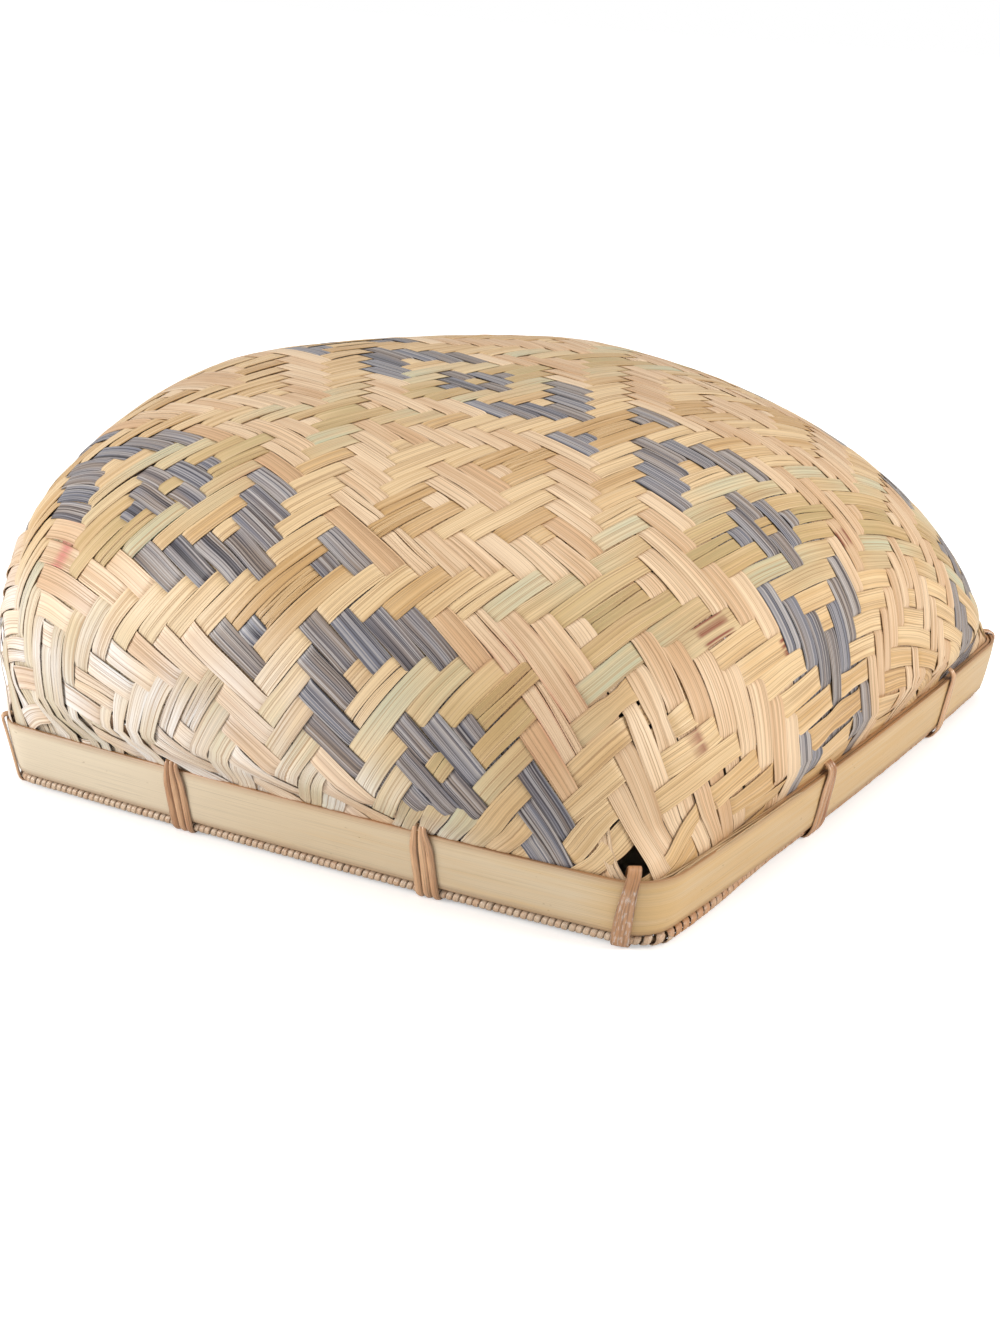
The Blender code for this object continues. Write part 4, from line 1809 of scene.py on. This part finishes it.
@dataclass
class EdgeCane:
    """The round cane under the mouth's edge and the strand wound round it."""

    mouth: Mouth
    levels: Levels
    core_gap: float = 0.001
    core_points: int = 420
    fine_pitch: float = 0.0030
    wide_pitch: float = 0.0056
    strand_thick: float = 0.00075
    strand_fill: float = 0.93
    slack_fill: float = 0.16
    strand_gap: float = 0.0001
    slack_gap: float = 0.0005
    wobble: float = 0.00014
    most_growth: float = 0.00018
    open_from: float = 0.012
    open_length: float = 0.0002
    slack_from: float = -0.004
    slack_rise: float = 0.016
    slack_to: float = 0.105
    slack_fall: float = 0.080
    sag: tuple[float, float] = (0.0026, -0.0003)
    deep_past: float = 0.02
    deep_fade: float = 0.03
    per_turn: int = 12
    section: Pairs = (
        (-1.0, -0.3), (-0.9, -0.5), (0.9, -0.5), (1.0, -0.3),
        (0.7, 0.35), (0.0, 0.5), (-0.7, 0.35),
    )  # fmt: skip

    def slack(self, s: np.ndarray) -> np.ndarray:
        """How loose the cane lies, most past the near corner.

        Args:
            s: lengths round the mouth.

        Returns:
            Shares from 0 to 1.
        """
        length = self.mouth.length
        s = (np.asarray(s, float) + 0.5 * length) % length - 0.5 * length
        rise = ease((s - self.slack_from) / self.slack_rise)
        return rise * ease((self.slack_to - s) / self.slack_fall)

    def centre(self, s: np.ndarray) -> np.ndarray:
        """Middle of the cane at lengths s.

        Args:
            s: lengths round the mouth.

        Returns:
            Points (n, 3).
        """
        slack, (out, down) = self.slack(s), self.sag
        levels = self.levels
        return self.mouth.lift(s, levels.bead_out + out * slack, levels.bead_z + down * slack)

    def core(self, sweeper: Sweeper, finish: bpy.types.Material) -> None:
        """Make the cane.

        Args:
            sweeper: what the cane is swept with.
            finish: its material.
        """
        back = 0.5 * (self.mouth.corner_at(1) + self.mouth.corner_at(2))
        start = back + self.core_gap / 2
        s = np.linspace(start, start + self.mouth.length - self.core_gap, self.core_points)
        side = raised(self.mouth.at(s)[1])
        up = np.broadcast_to(UP, side.shape)
        numbers = {"along": s * 1.0, "grain": 0.3, "tone": 0.5}
        guide = Guide(self.centre(s), side * self.levels.core, up * self.levels.core, numbers)
        piece = sweeper.sweep("edge_cane", [guide], ring(12), 1.0, finish, crease=60)
        settle(piece, "edge_core", "edge_core")

    def turn_starts(self) -> np.ndarray:
        """Lengths at which the strand's turns start: close, but wide where it is slack.

        Returns:
            Lengths round the mouth, one more than there are turns.
        """
        first = self.open_from + self.open_length
        end = self.mouth.length + self.open_from
        spread = self.wide_pitch - self.fine_pitch
        spots = [first]
        while spots[-1] < end:
            slack = float(self.slack(np.array(spots[-1])))
            spots.append(spots[-1] + self.fine_pitch + spread * slack)
        spots = np.array(spots) - spots[0]
        return first + spots * (end - first) / spots[-1]

    def lashing(self, sweeper: Sweeper, finish: bpy.types.Material) -> None:
        """Make the wound strand as one long ribbon, turn after turn.

        Args:
            sweeper: what the ribbon is swept with.
            finish: its material.
        """
        rng = np.random.default_rng(LASHING_SEED)
        starts = self.turn_starts()
        turns = len(starts) - 1
        turn = np.arange(turns * self.per_turn + 1) / self.per_turn
        knots = np.arange(turns + 2)
        angle = (turn * TURN)[:, None]
        s = np.interp(turn, knots[:-1], starts)
        s = s + np.interp(turn, knots, rng.normal(0, self.wobble, turns + 2))
        slack = self.slack(s)
        grow = np.interp(turn, knots, rng.uniform(0.0, self.most_growth, turns + 2))
        radius = self.levels.core + self.strand_gap + self.strand_thick / 2 + grow
        radius = radius + self.slack_gap * slack
        face = raised(self.mouth.at(s)[1]) * np.cos(angle) + UP * np.sin(angle)
        centre = self.centre(s) + face * radius[:, None]
        forward = unit(np.gradient(centre, axis=0))
        pitch = self.fine_pitch + (self.wide_pitch - self.fine_pitch) * slack
        half = 0.5 * pitch * (self.strand_fill - self.slack_fill * slack)
        side = unit(np.cross(forward, face)) * half[:, None]
        chance = np.interp(turn, knots, rng.random(turns + 2))
        deep = ease((self.mouth.corner_at(1) + self.deep_past - s) / self.deep_fade) + 0.25 * slack
        tone = 0.6 * deep + 0.5 * chance - 0.15
        guide = Guide(
            centre, side, face, {"along": run_lengths(centre), "grain": chance, "tone": tone}
        )
        thick = self.strand_thick
        piece = sweeper.sweep("edge_lashing_strand", [guide], self.section, thick, finish)
        settle(piece, "edge_lashing", "edge_lashing")

    def build(self, sweeper: Sweeper) -> None:
        """Make and dress the cane and its lashing.

        Args:
            sweeper: what they are swept with.
        """
        cane = CaneFinish("cane_core", (0.30, 0.20, 0.11), (0.20, 0.12, 0.06))
        strand = CaneFinish("cane_lashing", (0.70, 0.53, 0.38), (0.55, 0.26, 0.11), rough=0.36)
        self.core(sweeper, cane.build())
        self.lashing(sweeper, strand.build())


# Sections of a tie's strands: corners (across, lift).
DOMED = (
    (-1.0, -0.3), (-0.85, -0.5), (0.85, -0.5), (1.0, -0.3),
    (0.82, 0.16), (0.45, 0.54), (0.0, 0.68), (-0.45, 0.54), (-0.82, 0.16),
)  # fmt: skip
FLAT = (
    (-1.0, -0.2), (-0.95, -0.5), (0.95, -0.5), (1.0, -0.2),
    (0.9, 0.3), (0.3, 0.42), (-0.3, 0.42), (-0.9, 0.3),
)  # fmt: skip


@dataclass(frozen=True)
class Wrap:
    """How the strands of one kind of tie are wrapped."""

    width: float
    rise: float
    at_corner: bool = True
    pinch: float = 0.46
    pinch_below: float = 0.008
    pinch_fade: float = 0.013
    thick: float = 1.05
    section: Pairs = DOMED
    shift: float = 0.0
    lean: float | None = None
    worn: bool = False


SIDE_WRAP = Wrap(0.0037, 0.0054, at_corner=False)
CORNER_WRAP = Wrap(0.0030, 0.0018)
NEAR_WRAP = Wrap(
    0.0073, 0.0055, pinch=0.28, pinch_below=0.020, pinch_fade=0.026, thick=0.95,
    section=FLAT, shift=-0.0078, lean=0.0034, worn=True,
)  # fmt: skip


@dataclass(frozen=True)
class Tie:
    """One tie: its CAD node, the corner before it, its share of the side, its strands."""

    name: str
    corner: int
    share: float
    strands: int
    wrap: Wrap = SIDE_WRAP


TIES = (
    Tie("tie_near_corner", 0, 0.0, 1, NEAR_WRAP),
    Tie("tie_right_a", 0, 0.40, 3),
    Tie("tie_right_b", 0, 0.80, 2),
    Tie("tie_right_corner", 1, 0.0, 2, CORNER_WRAP),
    Tie("tie_back_a", 1, 0.33, 3),
    Tie("tie_back_b", 1, 0.67, 2),
    Tie("tie_far_corner", 2, 0.0, 2, CORNER_WRAP),
    Tie("tie_left_a", 2, 0.33, 2),
    Tie("tie_left_b", 2, 0.67, 3),
    Tie("tie_left_corner", 3, 0.0, 2, CORNER_WRAP),
    Tie("tie_front_a", 3, 0.31, 3),
    Tie("tie_front_b", 3, 0.70, 3),
)


@dataclass
class Ties:
    """The strands wrapped round the whole rim in twelve places."""

    mouth: Mouth
    levels: Levels
    ties: tuple[Tie, ...] = TIES
    fill: float = 0.99
    step: float = 0.0013
    smoothing: int = 3
    jitter: float = 0.00007
    sway: float = 0.0002
    entry_inset: float = 0.0010
    entry_reach: float = 0.007
    inside_z: float = 0.016
    worn_below: float = 0.0035
    worn_fade: float = 0.002

    def loop(self, s: float, tie: Tie) -> np.ndarray:
        """Middle line of a tie's strands as (out, z) points, once round the rim.

        Args:
            s: length round the mouth at the tie's middle.
            tie: the tie.

        Returns:
            Points from under the bead up the outside and back down the inside.
        """
        levels, wrap = self.levels, tie.wrap
        width, rise = wrap.width * tie.strands, wrap.rise
        radius = self.mouth.corner if wrap.at_corner else self.mouth.bow
        bulge = width**2 / (8 * (radius + levels.inner_in))
        thick = levels.strand * 0.5
        deepest = max(float(levels.inner_shift(self.mouth, s + k * width / 2)) for k in (-1, 0, 1))
        outside = float(levels.outer_shift(self.mouth, s)) + levels.play + thick
        inside = levels.inner_in - levels.hoop_crown / 2 - deepest - bulge - levels.play - thick
        foot = levels.crest * 0.95 + bulge
        knee = levels.edge_z - 0.4 * levels.crest
        half = levels.hoop_height / 2
        crown = levels.hoop_crown + levels.flare / 2
        flare, top, bead = levels.flare, levels.hoop_top, levels.bead_out
        return np.array(
            [
                (bead, thick),
                (bead + foot * 0.9, thick + 0.00005),
                (outside, knee),
                (outside + crown, levels.edge_z + half),
                (outside + flare + 0.0005, top - 0.0004),
                (outside + flare + 0.0010, top + 0.40 * rise),
                (flare + 0.0016, top + 0.85 * rise),
                (flare - 0.0014, top + 1.05 * rise),
                (flare - 0.0050, top + 0.9 * rise),
                (inside + flare, top + 0.2 * rise),
                (inside - levels.hoop_crown / 2 + flare / 2, levels.edge_z + half),
                (inside, knee),
                (bead - foot * 0.9, thick + 0.00005),
            ]
        )

    def rounded(self, line: np.ndarray) -> np.ndarray:
        """Closed line cut into short steps and smoothed.

        Args:
            line: its corners as (out, z) points.

        Returns:
            Its points.
        """
        fine = []
        for here, there in zip(line, np.roll(line, -1, 0)):
            steps = max(1, int(np.linalg.norm(there - here) / self.step))
            fine += [here + (there - here) * k / steps for k in range(steps)]
        fine = np.array(fine)
        for _ in range(self.smoothing):
            fine = 0.5 * fine + 0.25 * (np.roll(fine, 1, 0) + np.roll(fine, -1, 0))
        return fine

    def strand_guide(
        self,
        s: float,
        offset: float,
        line: np.ndarray,
        wrap: Wrap,
        lean: float,
        numbers: dict[str, float],
    ) -> Guide:
        """One strand's closed path.

        Args:
            s: length round the mouth at the tie's middle.
            offset: how far along the mouth the strand lies from there.
            line: (out, z) points of its middle line.
            wrap: how it is wrapped.
            lean: how far the top stands along the mouth from the foot.
            numbers: what is stored along it.

        Returns:
            The path with its face and edge directions.
        """
        fine = self.rounded(line)
        top = self.levels.hoop_top
        pinch = 1 - wrap.pinch * ease((fine[:, 1] - top + wrap.pinch_below) / wrap.pinch_fade)
        tilt = lean * (fine[:, 1] - self.levels.edge_z) / self.levels.hoop_height
        spots = s + offset * pinch + tilt
        centre = self.mouth.lift(spots, fine[:, 0], fine[:, 1])
        forward = unit(np.roll(centre, -1, 0) - np.roll(centre, 1, 0))
        along = np.cross(UP, raised(self.mouth.at(spots)[1]))
        side = unit(along - forward * dot(along, forward))
        face = np.cross(side, forward)
        middle = self.mouth.lift(s, self.levels.bead_out, self.inside_z)
        face *= np.where(dot(face, centre - middle) > 0, 1.0, -1.0)
        edge = side * (pinch * (wrap.width * self.fill) / 2)[:, None]
        return Guide(centre, edge, face, numbers | {"along": run_lengths(centre)}, closed=True)

    def entries(self) -> list[Gap]:
        """Chinks where ties pass through the weave.

        Returns:
            One for each tie but the near one.
        """
        out, height = self.levels.flare - self.entry_inset, self.levels.hoop_top + SIDE_WRAP.rise
        spots = [self.station(tie) for tie in self.ties if tie.wrap is not NEAR_WRAP]
        return [Gap(tuple(self.mouth.lift(s, out, height)[0]), self.entry_reach) for s in spots]

    def station(self, tie: Tie) -> float:
        """Length round the mouth of a tie's middle.

        Args:
            tie: the tie.

        Returns:
            The length.
        """
        start = self.mouth.corner_at(tie.corner)
        last = tie.corner == 3
        after = self.mouth.length if last else self.mouth.corner_at(tie.corner + 1)
        return start + tie.share * (after - start)

    def build(self, sweeper: Sweeper) -> None:
        """Make and dress every tie.

        Args:
            sweeper: what the strands are swept with.
        """
        rng = np.random.default_rng(TIE_SEED)
        fresh = CaneFinish(
            "cane_tie", (0.74, 0.45, 0.25), (0.38, 0.155, 0.06), rough=0.26, gloss=0.7
        ).build()
        worn = CaneFinish(
            "cane_tie_worn", (0.56, 0.31, 0.17), (0.50, 0.24, 0.10), rough=0.45, wear=0.8
        ).build()
        for tie in self.ties:
            wrap, s = tie.wrap, self.station(tie)
            line = self.loop(s, tie)
            guides = []
            for k in range(tie.strands):
                offset = (k - (tie.strands - 1) / 2) * wrap.width
                numbers = {"grain": rng.random(), "tone": rng.random()}
                strand = line + rng.normal(0, self.jitter, line.shape)
                lean = rng.normal(0, self.sway) if wrap.lean is None else wrap.lean
                guide = self.strand_guide(s + wrap.shift, offset, strand, wrap, lean, numbers)
                if wrap.worn:
                    above = guide.centre[:, 2] - self.levels.hoop_top + self.worn_below
                    guide.numbers["tone"] = 0.9 * ease(above / self.worn_fade)
                guides.append(guide)
            name, thick = tie.name + "_strands", self.levels.strand * wrap.thick
            finish = worn if wrap.worn else fresh
            piece = sweeper.sweep(name, guides, wrap.section, thick, finish)
            settle(piece, "tie", tie.name)


# ---------------------------------------------------------------- studio and camera


@dataclass(frozen=True)
class FloorFinish:
    """Matt pale floor that glows to the camera alone, but not in the tray's mouth."""

    mouth: Mouth
    name: str = "floor_white"
    colour: Colour = (0.86, 0.86, 0.86)
    rough: float = 0.9
    squareness: float = 8
    near_glow: float = 0.46
    far_glow: float = 0.5
    glow_span: tuple[float, float] = (0.45, 1.6)
    mouth_span: tuple[float, float] = (0.55, 0.85)

    def build(self) -> bpy.types.Material:
        """Make the material; it reads object coordinates.

        Returns:
            The material.
        """
        g = Graph(self.name)
        seen = g.node("ShaderNodeLightPath", {}, {}, "Is Camera Ray")
        look = {"Base Color": (*self.colour, 1.0), "Roughness": self.rough}
        matt = g.node("ShaderNodeBsdfPrincipled", {}, look | {"Specular IOR Level": 0.0})
        place = g.node("ShaderNodeTexCoord", {}, {}, "Object")
        spread = g.node("ShaderNodeVectorMath", {"operation": "LENGTH"}, {0: place}, "Value")
        x, y = (g.node("ShaderNodeSeparateXYZ", {}, {0: place}, axis) for axis in "XY")
        over_x, over_y = self.mouth.shift
        aside = abs((x - over_x) / self.mouth.half_x) ** self.squareness
        aside = aside + abs((y - over_y) / self.mouth.half_y) ** self.squareness
        level = self.near_glow + spread.ramp(*self.glow_span) * self.far_glow
        light = {"Color": (1, 1, 1, 1), "Strength": seen * (level * aside.ramp(*self.mouth_span))}
        glow = g.node("ShaderNodeEmission", {}, light)
        both = g.node("ShaderNodeAddShader", {}, {0: matt, 1: glow})
        g.close("ShaderNodeOutputMaterial", Surface=both)
        return g.material


@dataclass(frozen=True)
class Lamp:
    """One soft square lamp that faces the tray."""

    name: str
    place: Place
    size: float
    power: float
    tint: Colour
    aim: Place = (0, 0, 0.06)

    def build(self) -> None:
        """Hang the lamp."""
        data = bpy.data.lights.new(self.name, "AREA")
        data.size, data.energy, data.color = self.size, self.power, self.tint
        made = add_object(self.name, data)
        made.location = self.place
        ahead = Vector(self.aim) - Vector(self.place)
        made.rotation_euler = ahead.to_track_quat("-Z", "Y").to_euler()


LAMPS = (
    Lamp("lamp_left", (-1.15, -1.10, 0.55), 0.7, 18.0, (1.0, 0.985, 0.96)),
    Lamp("lamp_right", (1.45, 0.20, 0.80), 0.7, 13.5, (1.0, 0.955, 0.88)),
    Lamp("lamp_top", (0.1, 0.5, 1.7), 0.9, 7.0, (1.0, 0.985, 0.96)),
)


@dataclass
class Studio:
    """Plain pale floor, soft light and white surroundings."""

    mouth: Mouth
    floor_size: float = 6.0
    sky: float = 0.50
    lamps: tuple[Lamp, ...] = LAMPS

    def floor(self) -> None:
        """Lay the floor."""
        mesh = bpy.data.meshes.new("floor")
        h = self.floor_size / 2
        mesh.from_pydata([(-h, -h, 0), (h, -h, 0), (h, h, 0), (-h, h, 0)], [], [(0, 1, 2, 3)])
        mesh.materials.append(FloorFinish(self.mouth).build())
        add_object("floor", mesh)

    def build(self) -> None:
        """Set floor, lamps and world: white to the camera, greyer as a light."""
        self.floor()
        for lamp in self.lamps:
            lamp.build()
        world = bpy.data.worlds.new("studio")
        world.use_nodes = True
        tree = Tree(world.node_tree)
        seen = tree.node("ShaderNodeLightPath", {}, {}, "Is Camera Ray")
        inputs = {"Factor": seen, "A": self.sky, "B": 1.0}
        level = tree.node("ShaderNodeMix", {}, inputs, "Result")
        inputs = {"Color": (1, 1, 1, 1), "Strength": level}
        tree.close("ShaderNodeOutputWorld", Surface=tree.node("ShaderNodeBackground", {}, inputs))
        bpy.context.scene.world = world
        bpy.context.scene.view_settings.view_transform = "Standard"


@dataclass
class View:
    """The photograph's viewing angle."""

    place: Place = (0.55202, -0.91217, 0.41012)
    azimuth: float = 31.196
    elevation: float = 19.528
    roll: float = 0.816
    lens: float = 67.643
    sensor: tuple[float, float] = (27.007, 36.0)
    clip_end: float = 20.0

    def build(self) -> None:
        """Set the camera."""
        az, el, roll = (math.radians(v) for v in (self.azimuth, self.elevation, self.roll))
        ahead = Vector((-math.sin(az) * math.cos(el), math.cos(az) * math.cos(el), -math.sin(el)))
        level = Vector((math.cos(az), math.sin(az), 0.0))
        above = level.cross(ahead)
        right = level * math.cos(roll) + above * math.sin(roll)
        up = right.cross(ahead)
        data = bpy.data.cameras.new("camera")
        data.sensor_fit = "VERTICAL"
        data.sensor_width, data.sensor_height = self.sensor
        data.lens, data.clip_end = self.lens, self.clip_end
        made = add_object("camera", data)
        turn = Matrix((right, up, -ahead)).transposed().to_4x4()
        made.matrix_world = Matrix.Translation(self.place) @ turn
        bpy.context.scene.camera = made


def main() -> None:
    """Build the camera, the studio and every sub-assembly, in order."""
    logging.basicConfig(level=logging.INFO, format="%(message)s")
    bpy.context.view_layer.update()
    mouth, levels = Mouth(), Levels()
    View().build()
    Studio(mouth).build()
    sweeper = Sweeper()
    ties = Ties(mouth, levels)
    Weave(Net(Shell(mouth, levels)), [*ties.entries(), *CHINKS]).build(sweeper)
    Hoops(mouth, levels).build(sweeper)
    EdgeCane(mouth, levels).build(sweeper)
    ties.build(sweeper)


if __name__ == "__main__":
    main()
